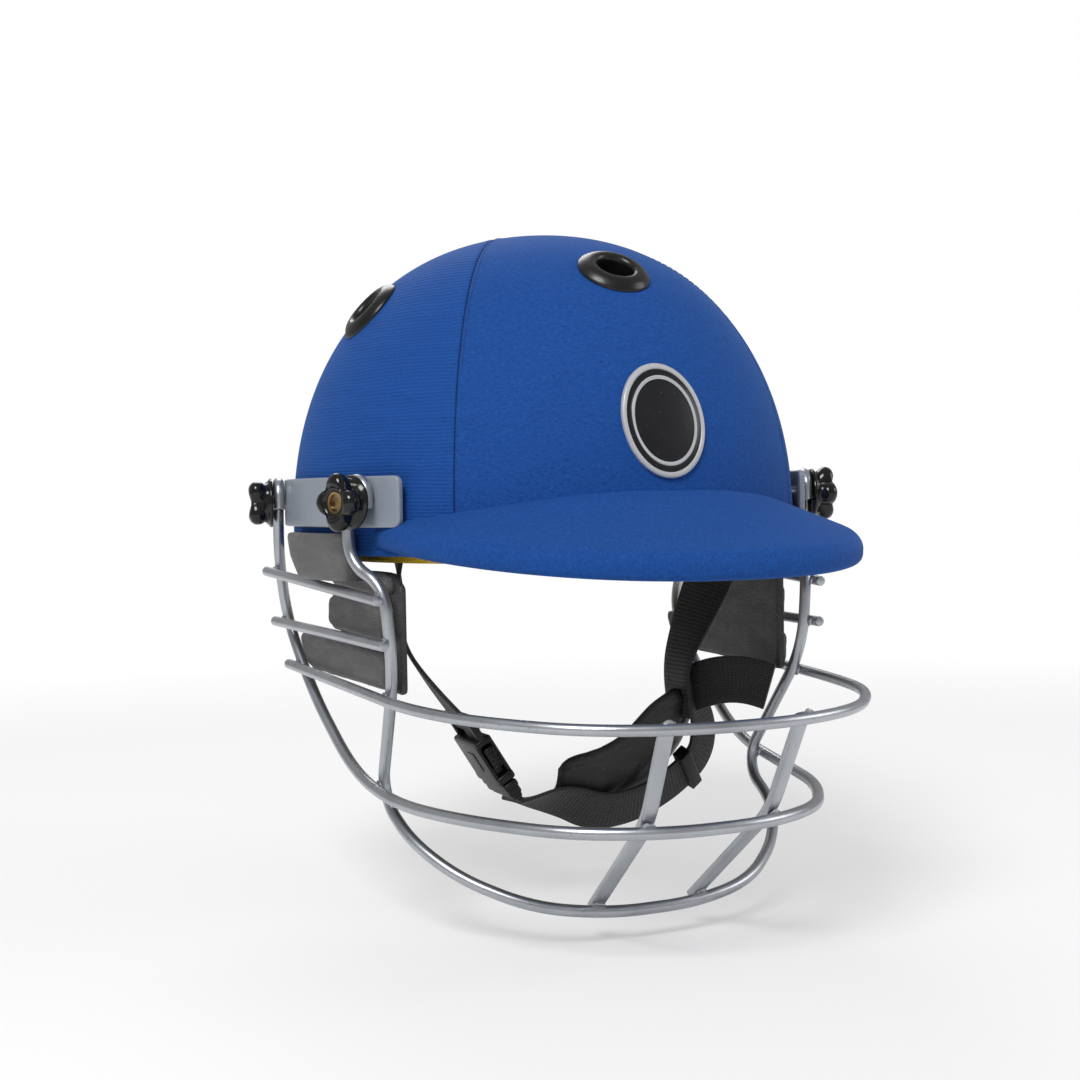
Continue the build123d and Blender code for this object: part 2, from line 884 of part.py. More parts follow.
def buckle_frame():
    """Plane at the start of the buckle: X along the strap, Y across it."""
    start, end = hanging([buckle_start_share, buckle_end_share])
    along = (end - start).normalized()
    return Plane(origin=start, x_dir=along, z_dir=Vector(along.Z, 0, -along.X))


def block(start, length, low, high, thickness):
    """Box in the buckle's frame: from start along X, between two places across, centred in thickness."""
    box = Box(length, high - low, thickness, align=(Align.MIN, Align.MIN, Align.CENTER))
    return Pos(start, low, 0) * box


def buckle_socket():
    """Hollow socket with a window on either side and a slot for the strap."""
    half = buckle_width / 2
    inner = half - buckle_wall
    hollow = buckle_thickness - 2 * buckle_wall
    body = block(0, buckle_length, -half, half, buckle_thickness)
    body = fillet(body.edges().filter_by(Axis.X), buckle_edge_round)
    body -= block(buckle_slot_depth + buckle_wall, buckle_length, -inner, inner, hollow)
    window = button_start - button_window_gap
    body -= block(window, button_length + 2 * button_window_gap, -2 * half, 2 * half, hollow)
    slot = strap_width / 2 + buckle_slot_fit
    body -= block(-overrun, overrun + buckle_slot_depth, -slot, slot, strap_thickness + 2 * buckle_slot_fit)
    return buckle_frame() * body


def buckle_tongue():
    """Tongue: a bar across the end with a guide reaching into the socket."""
    half = buckle_width / 2
    start = buckle_length + buckle_gap
    bar = block(start, tongue_length, -half, half, tongue_thickness)
    bar = fillet(bar.edges().filter_by(Axis.X), buckle_edge_round)
    guide_start = buckle_slot_depth + buckle_wall + buckle_gap
    thickness = buckle_thickness - 2 * buckle_wall - 2 * buckle_gap
    guide = block(guide_start, start - guide_start, -tongue_guide_width / 2, tongue_guide_width / 2, thickness)
    return buckle_frame() * (bar + guide)


def buckle_button(side):
    """Squeeze button with its arm, standing out of the socket's window."""
    thickness = buckle_thickness - 2 * buckle_wall - 2 * buckle_gap
    high = buckle_width / 2 + button_proud
    low = high - button_reach
    pad = block(button_start, button_length, low, high, thickness)
    pad = fillet(pad.faces().sort_by(Axis.Y)[-1].edges(), button_round)
    end = button_start + button_length
    arm = block(end, buckle_length - end, low, low + button_arm_width, thickness)
    body = pad + arm
    if side < 0:
        body = mirror(body, Plane.XZ)
    return buckle_frame() * body


def chin_cup():
    """Chin cup: a hollowed band lying over the webbing."""
    path = bent(hanging(chin_cup_shares))
    frame = Plane(origin=path @ 0, x_dir=(0, 1, 0), z_dir=path % 0)
    half = cup_width / 2
    up = 1 if frame.y_dir.Z > 0 else -1
    low = [(-half, up * cup_hollow), (0, 0), (half, up * cup_hollow)]
    rise = up * cup_thickness
    high = [(x, y + rise) for x, y in low]
    outline = [
        ThreePointArc(*low),
        Line(low[-1], high[-1]),
        ThreePointArc(*reversed(high)),
        Line(high[0], low[0]),
    ]
    return sweep(frame * Pos(0, -rise / 2) * make_face(outline), path=path)


def keeper():
    """Ring round the webbing that slides along it."""
    run = hanging(chin_webbing_shares[4:6])
    along = (run[1] - run[0]).normalized()
    middle = hanging([keeper_share])[0]
    frame = Plane(origin=middle, x_dir=along, z_dir=Vector(along.Z, 0, -along.X))
    width = strap_width + 2 * keeper_gap
    thickness = strap_thickness + 2 * keeper_gap
    outer = Box(keeper_length, width + 2 * keeper_wall, thickness + 2 * keeper_wall)
    outer = fillet(outer.edges().filter_by(Axis.X), keeper_wall)
    return frame * (outer - Box(2 * keeper_length, width, thickness))


def strap_tail():
    """Loose end of the webbing, standing on edge beside the joint."""
    middle = tail_height_share * strap_drop
    points = [Vector(u * strap_span, strap_y + v * strap_span, middle) for u, v in strap_tail_shares]
    path = bent(points)
    frame = Plane(origin=path @ 0, x_dir=(0, 0, 1), z_dir=path % 0)
    return sweep(frame * Rectangle(tail_height, strap_thickness), path=path)


# Helmet

peak_outside = peak_body(0)
peak_inside = peak_body(cloth)
under_cloth = dome(-cloth, -overrun)
plate_cutters = plate_room(plate_clearance)
core = peak_inside - under_cloth
peak_cover = peak_outside - under_cloth - peak_body(cloth - cloth_gap)
for cutter in plate_cutters:
    core -= cutter
    peak_cover -= cutter
save("shell", shell(core))
save("cover_peak", peak_cover)
cover_front, cover_rear, cover_hem = covers(peak_outside)
save("cover_front", cover_front)
save("cover_rear", cover_rear)
save("cover_hem", cover_hem)
save("liner", liner())
save("lining", lining())
save("pad_brow", side_pad(0))
save("pad_nape", side_pad(180))
save("pad_crown", crown_pad())
for place, frame in vent_frames().items():
    save(f"eyelet_{place}", eyelet(frame))
save("badge", badge())
save("plate_left", side_plate())
save("plate_right", mirrored(side_plate()))
bolts = [bolt(bolt_front_y), bolt(bolt_rear_y)]
save("bolts", Compound(bolts + [mirrored(one) for one in bolts]))
save("rivets", both_sides(rivet()))

# Knobs

knob_turns = {"front": (bolt_front_y, 0), "rear": (bolt_rear_y, knob_turn)}
for place, (y, turn) in knob_turns.items():
    save(f"knob_{place}_left", knob(y, turn))
    save(f"knob_{place}_right", mirrored(knob(y, turn)))
    save(f"insert_{place}_left", knob_insert(y))
    save(f"insert_{place}_right", mirrored(knob_insert(y)))

# Grille

front_path = long_path(bolt_front_y, wire_front_shares)
rear_path = long_path(bolt_rear_y, wire_rear_shares)
wire_front = hooked_wire(bolt_front_y, front_path)
wire_rear = hooked_wire(bolt_rear_y, rear_path)
save("wire_front", wire_front)
save("wire_rear", wire_rear)

bar_front = beside(front_path, bar_upper_front_height_share)
bar_rear = beside(rear_path, bar_upper_rear_height_share)
bar_path = upper_bar_path(bar_front, bar_rear)
bar_upper = round_wire(bar_path, bar_wire)
save("bar_upper", bar_upper)

rod_ends = {
    "high": (
        beside(front_path, rod_high_front_height_share),
        beside(rear_path, rod_high_rear_height_share),
    ),
    "low": (
        beside(front_path, rod_low_front_height_share),
        beside(rear_path, rod_low_rear_height_share),
    ),
}
for place, ends in rod_ends.items():
    rod = side_rod(*ends)
    save(f"rod_{place}_left", rod)
    save(f"rod_{place}_right", mirrored(rod))

post = strut(bar_path, rear_path, front_path)
save("strut_left", post)
save("strut_right", mirrored(post))

# Ear pads

wide = upright_wire + 2 * ear_wire_clearance
grooves = [round_wire(front_path, wide), round_wire(rear_path, wide)]
rod_groove = side_rod(*rod_ends["high"], bar_wire + 2 * ear_rod_clearance)
ear_pieces = {
    "backing": ear_block(ear_backing_shares, -ear_backing_wall, 0),
    "upper": ear_upper_block(rod_groove),
    "middle": ear_block(ear_middle_shares, ear_block_gap, ear_block_wall),
    "lower": ear_block(ear_lower_shares, ear_block_gap, ear_block_wall),
}
for place, piece in ear_pieces.items():
    for groove in grooves:
        piece -= groove
    save(f"ear_{place}_left", piece)
    save(f"ear_{place}_right", mirrored(piece))

# Chin strap

save("strap_right", hung_strap(-1, strap_right_shares))
save("strap_left", hung_strap(1, strap_left_shares))
save("strap_tail", strap_tail())
save("chin_webbing", ribbon(bent(hanging(chin_webbing_shares)), strap_width, strap_thickness))
save("chin_cup", chin_cup())
save("buckle_socket", buckle_socket())
save("buckle_tongue", buckle_tongue())
save("button_front", buckle_button(1))
save("button_rear", buckle_button(-1))
save("keeper", keeper())
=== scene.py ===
"""Looks of a batting helmet with a wire face grille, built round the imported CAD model."""

import logging
import math
from dataclasses import dataclass, field
from enum import Enum
from typing import Callable, Sequence

import bmesh
import bpy
import numpy as np
from mathutils import Matrix, Vector


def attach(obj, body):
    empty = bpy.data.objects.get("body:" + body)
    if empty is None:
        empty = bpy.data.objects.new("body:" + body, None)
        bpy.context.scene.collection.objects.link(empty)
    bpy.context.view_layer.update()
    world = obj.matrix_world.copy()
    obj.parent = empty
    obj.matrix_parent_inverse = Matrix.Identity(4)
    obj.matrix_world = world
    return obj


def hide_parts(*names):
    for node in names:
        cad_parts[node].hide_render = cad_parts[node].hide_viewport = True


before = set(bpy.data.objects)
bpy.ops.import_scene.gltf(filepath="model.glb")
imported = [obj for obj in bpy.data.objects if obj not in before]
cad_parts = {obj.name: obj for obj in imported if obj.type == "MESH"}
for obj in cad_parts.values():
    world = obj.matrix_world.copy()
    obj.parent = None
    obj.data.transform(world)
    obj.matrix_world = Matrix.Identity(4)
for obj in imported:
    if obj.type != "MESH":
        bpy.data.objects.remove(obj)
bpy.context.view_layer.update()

log = logging.getLogger("helmet")
MM = 0.001
Array = np.ndarray
Colour = tuple[float, float, float]
Triple = tuple[float, float, float]
Pairs = Sequence[tuple[float, float]]
MIRROR = np.array([-1, 1, 1])
WHITE: Colour = (1.0, 1.0, 1.0)
CORNERS = ((-1, -1), (1, -1), (1, 1), (-1, 1))
VENTS = {"front": (0.0, -75.0), "rear": (0.0, 75.0), "left": (75.0, 0.0), "right": (-75.0, 0.0)}


class Side(Enum):
    """The wearer's left is +X."""

    LEFT = 1
    RIGHT = -1

    @property
    def word(self) -> str:
        """The side as it stands in node names."""
        return self.name.lower()

    @property
    def flip(self) -> Array:
        """Factors that carry a point of the left to this side."""
        return np.array([self.value, 1, 1])


class End(Enum):
    """Front or rear pair of knobs."""

    FRONT = "front"
    REAR = "rear"


# ---------------------------------------------------------------- shader maths


class Signal:
    """A node's output that can be used in arithmetic."""

    def __init__(self, bench: "Bench", socket: bpy.types.NodeSocket) -> None:
        """Keeps the socket and the bench that its nodes are on."""
        self.bench = bench
        self.socket = socket

    def math(self, operation: str, *others: "Signal | float") -> "Signal":
        """Adds one Math node.

        Args:
            operation: the node's operation.
            others: the second and third values.

        Returns:
            The node's result.
        """
        values = dict(enumerate((self, *others)))
        return self.bench.node("ShaderNodeMath", {"operation": operation}, values)

    def __add__(self, other: "Signal | float") -> "Signal":
        """Sum."""
        return self.math("ADD", other)

    __radd__ = __add__

    def __sub__(self, other: "Signal | float") -> "Signal":
        """Difference."""
        return self.math("SUBTRACT", other)

    def __rsub__(self, other: float) -> "Signal":
        """Difference, the number first."""
        return self.bench.number(other).math("SUBTRACT", self)

    def __mul__(self, other: "Signal | float") -> "Signal":
        """Product."""
        return self.math("MULTIPLY", other)

    __rmul__ = __mul__

    def __truediv__(self, other: "Signal | float") -> "Signal":
        """Quotient."""
        return self.math("DIVIDE", other)

    def sine(self) -> "Signal":
        """Sine."""
        return self.math("SINE")

    def clamp(self) -> "Signal":
        """The value held between 0 and 1."""
        return self.bench.node("ShaderNodeClamp", {}, {0: self})


class Bench:
    """The node tree of one material."""

    def __init__(self, owner: bpy.types.ID | str) -> None:
        """Empties a node tree.

        Args:
            owner: name of a new material, or the world whose tree is wanted.
        """
        self.material = bpy.data.materials.new(owner) if isinstance(owner, str) else owner
        self.material.use_nodes = True
        self.tree = self.material.node_tree
        self.tree.nodes.clear()

    def node(
        self,
        kind: str,
        settings: dict[str, object] | None = None,
        inputs: dict[int | str, object] | None = None,
        output: int | str = 0,
    ) -> Signal:
        """Adds a node.

        Args:
            kind: the node's type.
            settings: its settings, a ramp's stops among them, which are set first.
            inputs: values or signals for its sockets.
            output: the output wanted.

        Returns:
            That output.
        """
        made = self.tree.nodes.new(kind)
        for key, value in (settings or {}).items():
            if key == "stops":
                ramp = made.color_ramp.elements
                for element, (place, colour) in zip(ramp, value):
                    element.position, element.color = place, (*colour, 1)
                for place, colour in value[2:]:
                    ramp.new(place).color = (*colour, 1)
            else:
                setattr(made, key, value)
        for key, value in (inputs or {}).items():
            if isinstance(value, Signal):
                self.tree.links.new(value.socket, made.inputs[key])
            elif isinstance(value, tuple) and len(value) == 3 and made.inputs[key].type == "RGBA":
                made.inputs[key].default_value = (*value, 1)
            else:
                made.inputs[key].default_value = value
        return Signal(self, made.outputs[output])

    def number(self, value: float) -> Signal:
        """A plain number as a signal."""
        made = self.node("ShaderNodeValue")
        made.socket.default_value = value
        return made

    def place(self, scale: Triple = (1, 1, 1)) -> Signal:
        """The point on the object, each axis scaled."""
        spot = self.node("ShaderNodeTexCoord", output="Object")
        return self.node("ShaderNodeVectorMath", {"operation": "MULTIPLY"}, {0: spot, 1: scale})

    def axis(self, index: int) -> Signal:
        """One coordinate of the point on the object, in metres."""
        spot = self.node("ShaderNodeTexCoord", output="Object")
        return self.node("ShaderNodeSeparateXYZ", {}, {0: spot}, output=index)

    def noise(self, scale: float, stretch: Triple = (1, 1, 1), detail: float = 3) -> Signal:
        """Noise from 0 to 1 over the object.

        Args:
            scale: lumps per metre.
            stretch: how much finer it is along each axis.
            detail: layers of finer noise.
        """
        inputs = {"Vector": self.place(stretch), "Scale": scale, "Detail": detail}
        return self.node("ShaderNodeTexNoise", {}, inputs)

    def mix(self, share: Signal | float, first: object, second: object) -> Signal:
        """Colour between two colours."""
        settings = {"data_type": "RGBA"}
        return self.node("ShaderNodeMix", settings, {0: share, 6: first, 7: second}, output=2)

    def surface(
        self,
        colour: Signal | Colour,
        roughness: Signal | float,
        height: Signal | None = None,
        depth: float = 0.0001,
        strength: float = 1.0,
        **fixed: object,
    ) -> bpy.types.Material:
        """Finishes the material.

        Args:
            colour: base colour.
            roughness: roughness.
            height: relief, 0 to 1.
            depth: how deep that relief is, in metres.
            strength: how strongly it shows.
            fixed: constants for the shader's own sockets, blanks in their names written as _.

        Returns:
            The material.
        """
        inputs: dict[int | str, object] = {"Base Color": colour, "Roughness": roughness}
        for key, value in fixed.items():
            inputs[key.replace("_", " ")] = value
        if height is not None:
            bump = {"Height": height, "Distance": depth, "Strength": strength}
            inputs["Normal"] = self.node("ShaderNodeBump", {}, bump)
        self.close(self.node("ShaderNodeBsdfPrincipled", {}, inputs))
        return self.material

    def close(self, shader: Signal, kind: str = "ShaderNodeOutputMaterial") -> None:
        """Ends the tree in its output node."""
        end = self.tree.nodes.new(kind)
        self.tree.links.new(shader.socket, end.inputs[0])


# ---------------------------------------------------------------- finishes


class Weave(Enum):
    """How the cloth's threads run."""

    ROWS = "rows"
    TWILL = "twill"
    PEAK = "peak"


@dataclass(frozen=True)
class KnitCloth:
    """Stretch knit: wavy rows at the rear, a fine twill at the front and on the peak."""

    weave: Weave
    colour: Colour = (0.013, 0.088, 0.36)
    shade: Colour = (0.004, 0.038, 0.18)
    seam_colour: Colour = (0.001, 0.010, 0.055)
    lint_colour: Colour = (0.05, 0.14, 0.40)
    row: float = 0.00135
    seam_width: float = 0.0005
    seam_apex: float = 0.024
    seam_run: tuple[float, float] = (0.832, 0.555)

    def make(self) -> bpy.types.Material:
        """Builds the material."""
        bench = Bench(f"cloth_{self.weave.value}")
        x, y, z = (bench.axis(i) for i in range(3))
        grain = bench.noise(1100, (1, 1, 1.6), 3)
        streak = bench.noise(60, (0.5, 0.5, 6.0), 3)
        if self.weave is Weave.ROWS:
            wave = bench.noise(22, (1, 1, 2), 3) * 14.0 + bench.noise(120, detail=2) * 2.5
            threads = (z * (2 * math.pi / self.row) + wave).sine() * 0.5 + 0.5
            tone = threads * 0.26 + grain * 0.95 + streak * 0.35 - 0.30
        else:
            stretch = (1, 1, 2.2) if self.weave is Weave.TWILL else (2.2, 1, 1)
            threads = bench.noise(520, stretch, 2)
            tone = threads * 0.75 + grain * 1.1 + streak * 0.15 - 0.55
        colour = bench.mix(tone.clamp(), self.shade, self.colour)
        if self.weave is not Weave.PEAK:
            ahead = (self.seam_apex - y) * self.seam_run[1]
            gap = (x.math("ABSOLUTE") * self.seam_run[0] - ahead).math("ABSOLUTE")
            line = (1 - gap / self.seam_width).clamp() * y.math("LESS_THAN", self.seam_apex)
            colour = bench.mix(line * 0.8, colour, self.seam_colour)
        lint = bench.noise(700, detail=1).math("GREATER_THAN", 0.76) * 0.25
        colour = bench.mix(lint * grain, colour, self.lint_colour)
        return bench.surface(
            colour,
            grain * 0.15 + 0.74,
            threads * 0.7 + grain * 0.7,
            0.00024,
            0.6,
            Sheen_Weight=0.16,
            Sheen_Roughness=0.45,
            Sheen_Tint=(0.22, 0.42, 0.9, 1.0),
            Specular_IOR_Level=0.15,
        )


@dataclass(frozen=True)
class CoatedWire:
    """Steel wire with a silver powder coat, a little rubbed."""

    colour: Colour = (0.52, 0.54, 0.57)
    dull: Colour = (0.36, 0.375, 0.40)
    pit: Colour = (0.16, 0.165, 0.175)

    def make(self) -> bpy.types.Material:
        """Builds the material."""
        bench = Bench("coated_wire")
        patch = bench.noise(55, detail=4)
        peel = bench.noise(1400, detail=2)
        speck = bench.noise(480, detail=2).math("GREATER_THAN", 0.70)
        colour = bench.mix((patch * 1.5 - 0.25).clamp(), self.dull, self.colour)
        colour = bench.mix(speck * 0.35, colour, self.pit)
        rough = patch * 0.16 + 0.24
        height = peel * 0.5 + patch * 0.3
        shine = {"Metallic": 0.88, "Coat_Weight": 0.1, "Coat_Roughness": 0.3}
        return bench.surface(colour, rough, height, 0.00008, 0.5, **shine)


@dataclass(frozen=True)
class MouldedPlastic:
    """Moulded plastic with faint flow marks, dust and rubbed spots."""

    name: str
    colour: Colour
    rub: Colour
    roughness: float = 0.3
    coat: float = 0.0
    grain: float = 0.25
    gloss: float = 0.5
    dust_colour: Colour = (0.25, 0.25, 0.26)

    def make(self) -> bpy.types.Material:
        """Builds the material."""
        bench = Bench(self.name)
        cloud = bench.noise(40, detail=4)
        fine = bench.noise(1600, detail=2)
        dust = bench.noise(900, detail=1).math("GREATER_THAN", 0.74)
        worn = (cloud * 2.2 - 0.9).clamp()
        colour = bench.mix(worn * 0.6, self.colour, self.rub)
        colour = bench.mix(dust * 0.12, colour, self.dust_colour)
        rough = cloud * 0.14 + (self.roughness - 0.05)
        shine = {"Coat_Weight": self.coat, "Coat_Roughness": 0.12, "Specular_IOR_Level": self.gloss}
        return bench.surface(colour, rough, fine, 0.00006, self.grain, **shine)


@dataclass(frozen=True)
class GrainedSkin:
    """Leather-like skin with fine cells and soft creases; its low grooves and folds are painted
    darker as shade.
    """

    name: str
    colour: Colour
    # Painted shade: the colour given to the low grooves and folds of the relief.
    crease: Colour
    cell: float = 900
    roughness: float = 0.5
    relief: float = 0.0004
    fleck_colour: Colour = (0.16, 0.16, 0.165)

    def make(self) -> bpy.types.Material:
        """Builds the material."""
        bench = Bench(self.name)
        warp = bench.noise(120, detail=3)
        inputs = {"Vector": bench.place(), "Scale": self.cell}
        cells = bench.node("ShaderNodeTexVoronoi", {"feature": "DISTANCE_TO_EDGE"}, inputs)
        pore = (cells * 5).clamp()
        fold = bench.noise(70, (1.0, 1.0, 2.2), 5)
        fold = (fold * 3.0 - 1.0).clamp()
        fleck = bench.noise(650, detail=2).math("GREATER_THAN", 0.66)
        # Painted shade: the skin goes to the darker colour where its folds and cell grooves lie low
        # in the relief.
        colour = bench.mix((fold * 0.7 + pore * 0.3).clamp(), self.crease, self.colour)
        colour = bench.mix(fleck * 0.2, colour, self.fleck_colour)
        rough = warp * 0.2 + (self.roughness - 0.1)
        height = pore * 0.35 + fold * 0.9
        shine = {"Specular_IOR_Level": 0.5, "Coat_Weight": 0.1}
        return bench.surface(colour, rough, height, self.relief, 0.85, **shine)


@dataclass(frozen=True)
class Webbing:
    """Woven band: ribs across it, a selvedge along each edge, the rib crests painted lighter as
    highlight. It reads the band's own map.
    """

    colour: Colour = (0.006, 0.006, 0.007)
    # Painted highlight: the lighter colour of the raised rib crests.
    rib: Colour = (0.028, 0.028, 0.030)
    pitch: float = 0.0017
    thread: float = 0.0011
    selvedge: float = 0.0082

    def make(self) -> bpy.types.Material:
        """Builds the material."""
        bench = Bench("webbing")
        spot = bench.node("ShaderNodeUVMap", {"uv_map": "band"})
        along = bench.node("ShaderNodeSeparateXYZ", {}, {0: spot}, output=0)
        across = bench.node("ShaderNodeSeparateXYZ", {}, {0: spot}, output=1)
        ribs = (along * (2 * math.pi / self.pitch)).sine() * 0.5 + 0.5
        threads = (across * (2 * math.pi / self.thread)).sine() * 0.5 + 0.5
        edge = across.math("ABSOLUTE").math("GREATER_THAN", self.selvedge)
        fuzz = bench.noise(1500, detail=3)
        height = (ribs * threads * 0.8 + fuzz * 0.3) * (1 - edge * 0.5)
        # Painted highlight on the raised rib crests, with random fuzz: both move the colour towards
        # the lighter one.
        tone = (ribs * 0.6 + fuzz * 0.7 - 0.35).clamp()
        colour = bench.mix(tone, self.colour, self.rib)
        sheen = {"Sheen_Weight": 0.12, "Sheen_Roughness": 0.5}
        return bench.surface(colour, fuzz * 0.2 + 0.6, height, 0.0004, 0.9, **sheen)


@dataclass(frozen=True)
class Foam:
    """Closed-cell foam or a mesh cover over it."""

    name: str
    colour: Colour
    cell: float = 700

    def make(self) -> bpy.types.Material:
        """Builds the material."""
        bench = Bench(self.name)
        inputs = {"Vector": bench.place(), "Scale": self.cell}
        cells = bench.node("ShaderNodeTexVoronoi", {}, inputs)
        cloud = bench.noise(30, detail=4)
        dark = tuple(value * 0.55 for value in self.colour)
        colour = bench.mix((cells * 0.8 + cloud * 0.5).clamp(), dark, self.colour)
        return bench.surface(colour, cloud * 0.1 + 0.78, cells, 0.0003, 0.6, Sheen_Weight=0.1)


@dataclass(frozen=True)
class TurnedMetal:
    """Turned metal with fine tool marks and tarnish."""

    name: str
    colour: Colour
    tarnish: Colour
    roughness: float = 0.3

    def make(self) -> bpy.types.Material:
        """Builds the material."""
        bench = Bench(self.name)
        marks = bench.noise(2600, (1, 1, 3), 2)
        cloud = bench.noise(260, detail=4)
        colour = bench.mix((cloud * 2 - 0.6).clamp(), self.tarnish, self.colour)
        rough = cloud * 0.2 + self.roughness - 0.1
        return bench.surface(colour, rough, marks, 0.00005, 0.5, Metallic=1.0)


# ---------------------------------------------------------------- mesh helpers


def unit(vectors: Array) -> Array:
    """The same directions with a length of one, for one vector or rows of them."""
    return vectors / np.linalg.norm(vectors, axis=-1, keepdims=True)


def tangents(path: Array) -> Array:
    """Direction of a path at each of its points."""
    return unit(np.gradient(path, axis=0))


def run_along(path: Array) -> Array:
    """Distance of each point from the start of its path."""
    return np.concatenate([[0], np.cumsum(np.linalg.norm(np.diff(path, axis=0), axis=1))])


def turns_round(steps: int) -> list[float]:
    """Evenly spaced angles of one full turn."""
    return [2 * math.pi * k / steps for k in range(steps)]


def held(value: float) -> float:
    """The value held between 0 and 1."""
    return min(max(value, 0), 1)


def bell(value: float, width: float) -> float:
    """1 at zero, fading out over a width on both sides."""
    return math.exp(-((value / width) ** 2))


def eased_turns(share: Array, table: Pairs, reach: int = 9) -> Array:
    """Angles along a path from a short table, its corners eased.

    Args:
        share: place of each point along the path, 0 to 1.
        table: place and angle in degrees of each stop.
        reach: how many points to either side are averaged.
    """
    places, degrees = zip(*table)
    turn = np.radians(np.interp(share, places, degrees))
    count = 2 * reach + 1
    return np.convolve(np.pad(turn, reach, mode="edge"), np.ones(count) / count, mode="valid")


def rows_of_faces(
    rows: int, columns: int, wrap: bool = False, first: int = 0
) -> list[tuple[int, ...]]:
    """Quads between rows of points.

    Args:
        rows: how many rows.
        columns: points in a row.
        wrap: whether each row closes on itself.
        first: index of the first point.
    """
    faces = []
    last = columns if wrap else columns - 1
    for row in range(rows - 1):
        for column in range(last):
            after = (column + 1) % columns
            low, high = first + row * columns, first + (row + 1) * columns
            faces.append((low + column, low + after, high + after, high + column))
    return faces


def capped(rows: int, columns: int, first: int = 0) -> list[tuple[int, ...]]:
    """Faces of a run of rings with both ends closed."""
    last = first + (rows - 1) * columns
    caps = [tuple(range(first, first + columns))[::-1], tuple(range(last, last + columns))]
    return rows_of_faces(rows, columns, wrap=True, first=first) + caps


def placed(name: str, data: bpy.types.ID) -> bpy.types.Object:
    """Adds an object to the scene."""
    made = bpy.data.objects.new(name, data)
    bpy.context.collection.objects.link(made)
    return made


def mesh_from(name: str, work: bmesh.types.BMesh) -> bpy.types.Mesh:
    """Turns a working mesh into a finished one and frees it."""
    mesh = bpy.data.meshes.new(name)
    work.to_mesh(mesh)
    work.free()
    return mesh


def solid_object(
    name: str,
    points: Array | Sequence[Sequence[float]],
    faces: Sequence[tuple[int, ...]],
    material: bpy.types.Material,
    band: Array | None = None,
) -> bpy.types.Object:
    """Makes a smooth mesh object from points in millimetres.

    Args:
        name: the object's name.
        points: its points.
        faces: its faces.
        material: its finish.
        band: for webbing, the place along and across the band at each point, in metres.

    Returns:
        The object, with its normals pointing out.
    """
    mesh = bpy.data.meshes.new(name)
    mesh.from_pydata((np.array([tuple(p) for p in points]) * MM).tolist(), [], list(faces))
    if band is not None:
        layer = mesh.uv_layers.new(name="band")
        index = np.empty(len(mesh.loops), int)
        mesh.loops.foreach_get("vertex_index", index)
        layer.data.foreach_set("uv", np.asarray(band)[index].ravel())
    work = bmesh.new()
    work.from_mesh(mesh)
    bmesh.ops.recalc_face_normals(work, faces=work.faces)
    work.to_mesh(mesh)
    work.free()
    mesh.materials.append(material)
    made = placed(name, mesh)
    smooth(made)
    return made


def smooth(made: bpy.types.Object, angle: float = 40) -> None:
    """Shades a mesh smooth, apart from edges sharper than the angle."""
    mesh = made.data
    mesh.polygons.foreach_set("use_smooth", [True] * len(mesh.polygons))
    work = bmesh.new()
    work.from_mesh(mesh)
    limit = math.radians(angle)
    for edge in work.edges:
        if len(edge.link_faces) == 2 and edge.calc_face_angle(0) > limit:
            edge.smooth = False
    work.to_mesh(mesh)
    work.free()


def ride(made: bpy.types.Object, body: str, slot: str, *nodes: str) -> bpy.types.Object:
    """Puts a piece on a body in place of its CAD nodes."""
    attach(made, body)
    if nodes:
        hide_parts(*nodes)
    log.info("%s rides on %s", made.name, body)
    return made


def dress(node: str, material: bpy.types.Material) -> None:
    """Gives a CAD node a finish."""
    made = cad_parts[node]
    made.data.materials.clear()
    made.data.materials.append(material)


def bend(points: Array, share: float = 0.47, step: float = 1.6) -> Array:
    """Rounds the corners of a run of straight lines.

    Args:
        points: the corners, in millimetres.
        share: how much of its shorter run each bend takes.
        step: distance between the points of the result.

    Returns:
        Evenly spaced points along the rounded path.
    """
    path = [points[0]]
    for before, corner, after in zip(points, points[1:], points[2:]):
        inward, outward = corner - before, after - corner
        reach = share * min(np.linalg.norm(inward), np.linalg.norm(outward))
        start = corner - unit(inward) * reach
        end = corner + unit(outward) * reach
        turn = math.acos(np.clip(np.dot(unit(inward), unit(outward)), -1, 1))
        weight = 1 / max(math.cos(turn / 2), 0.05)
        for t in np.linspace(0, 1, 17):
            a, b, c = (1 - t) ** 2 * weight, 2 * t * (1 - t), t * t * weight
            path.append((a * start + b * corner + c * end) / (a + b + c))
    path.append(points[-1])
    return even(np.array(path), step)


def even(path: Array, step: float) -> Array:
    """The same path with evenly spaced points."""
    length = run_along(path)
    keep = np.concatenate([[True], np.diff(length) > 1e-6])
    length, path = length[keep], path[keep]
    count = max(int(length[-1] / step), 4)
    spots = np.linspace(0, length[-1], count + 1)
    return np.stack([np.interp(spots, length, path[:, i]) for i in range(path.shape[1])], 1)


def frames_along(path: Array, up: Array) -> tuple[Array, Array]:
    """Directions across and out of a path that turn as little as possible."""
    along = tangents(path)
    across = np.empty_like(along)
    last = np.asarray(up, float)
    for i, direction in enumerate(along):
        last = unit(last - np.dot(last, direction) * direction)
        across[i] = last
    return across, np.cross(along, across)


def sweep(
    path: Array, wide: Array, out: Array, cut: Pairs, ends: Pairs
) -> tuple[Array, list[tuple[int, ...]]]:
    """Draws a closed outline along a path.

    Args:
        path: the middle line.
        wide: the outline's first direction at each point.
        out: its second direction at each point.
        cut: the outline.
        ends: size and distance from the end of each ring that rounds both ends.

    Returns:
        The points and the faces.
    """
    along, last = tangents(path), len(path) - 1
    rings = [(0, size, shift) for size, shift in ends]
    rings += [(i, 1.0, 0.0) for i in range(1, last)]
    rings += [(last, size, -shift) for size, shift in reversed(ends)]
    points = [
        path[i] + along[i] * shift + (wide[i] * a + out[i] * b) * size
        for i, size, shift in rings
        for a, b in cut
    ]
    return np.array(points), capped(len(rings), len(cut))


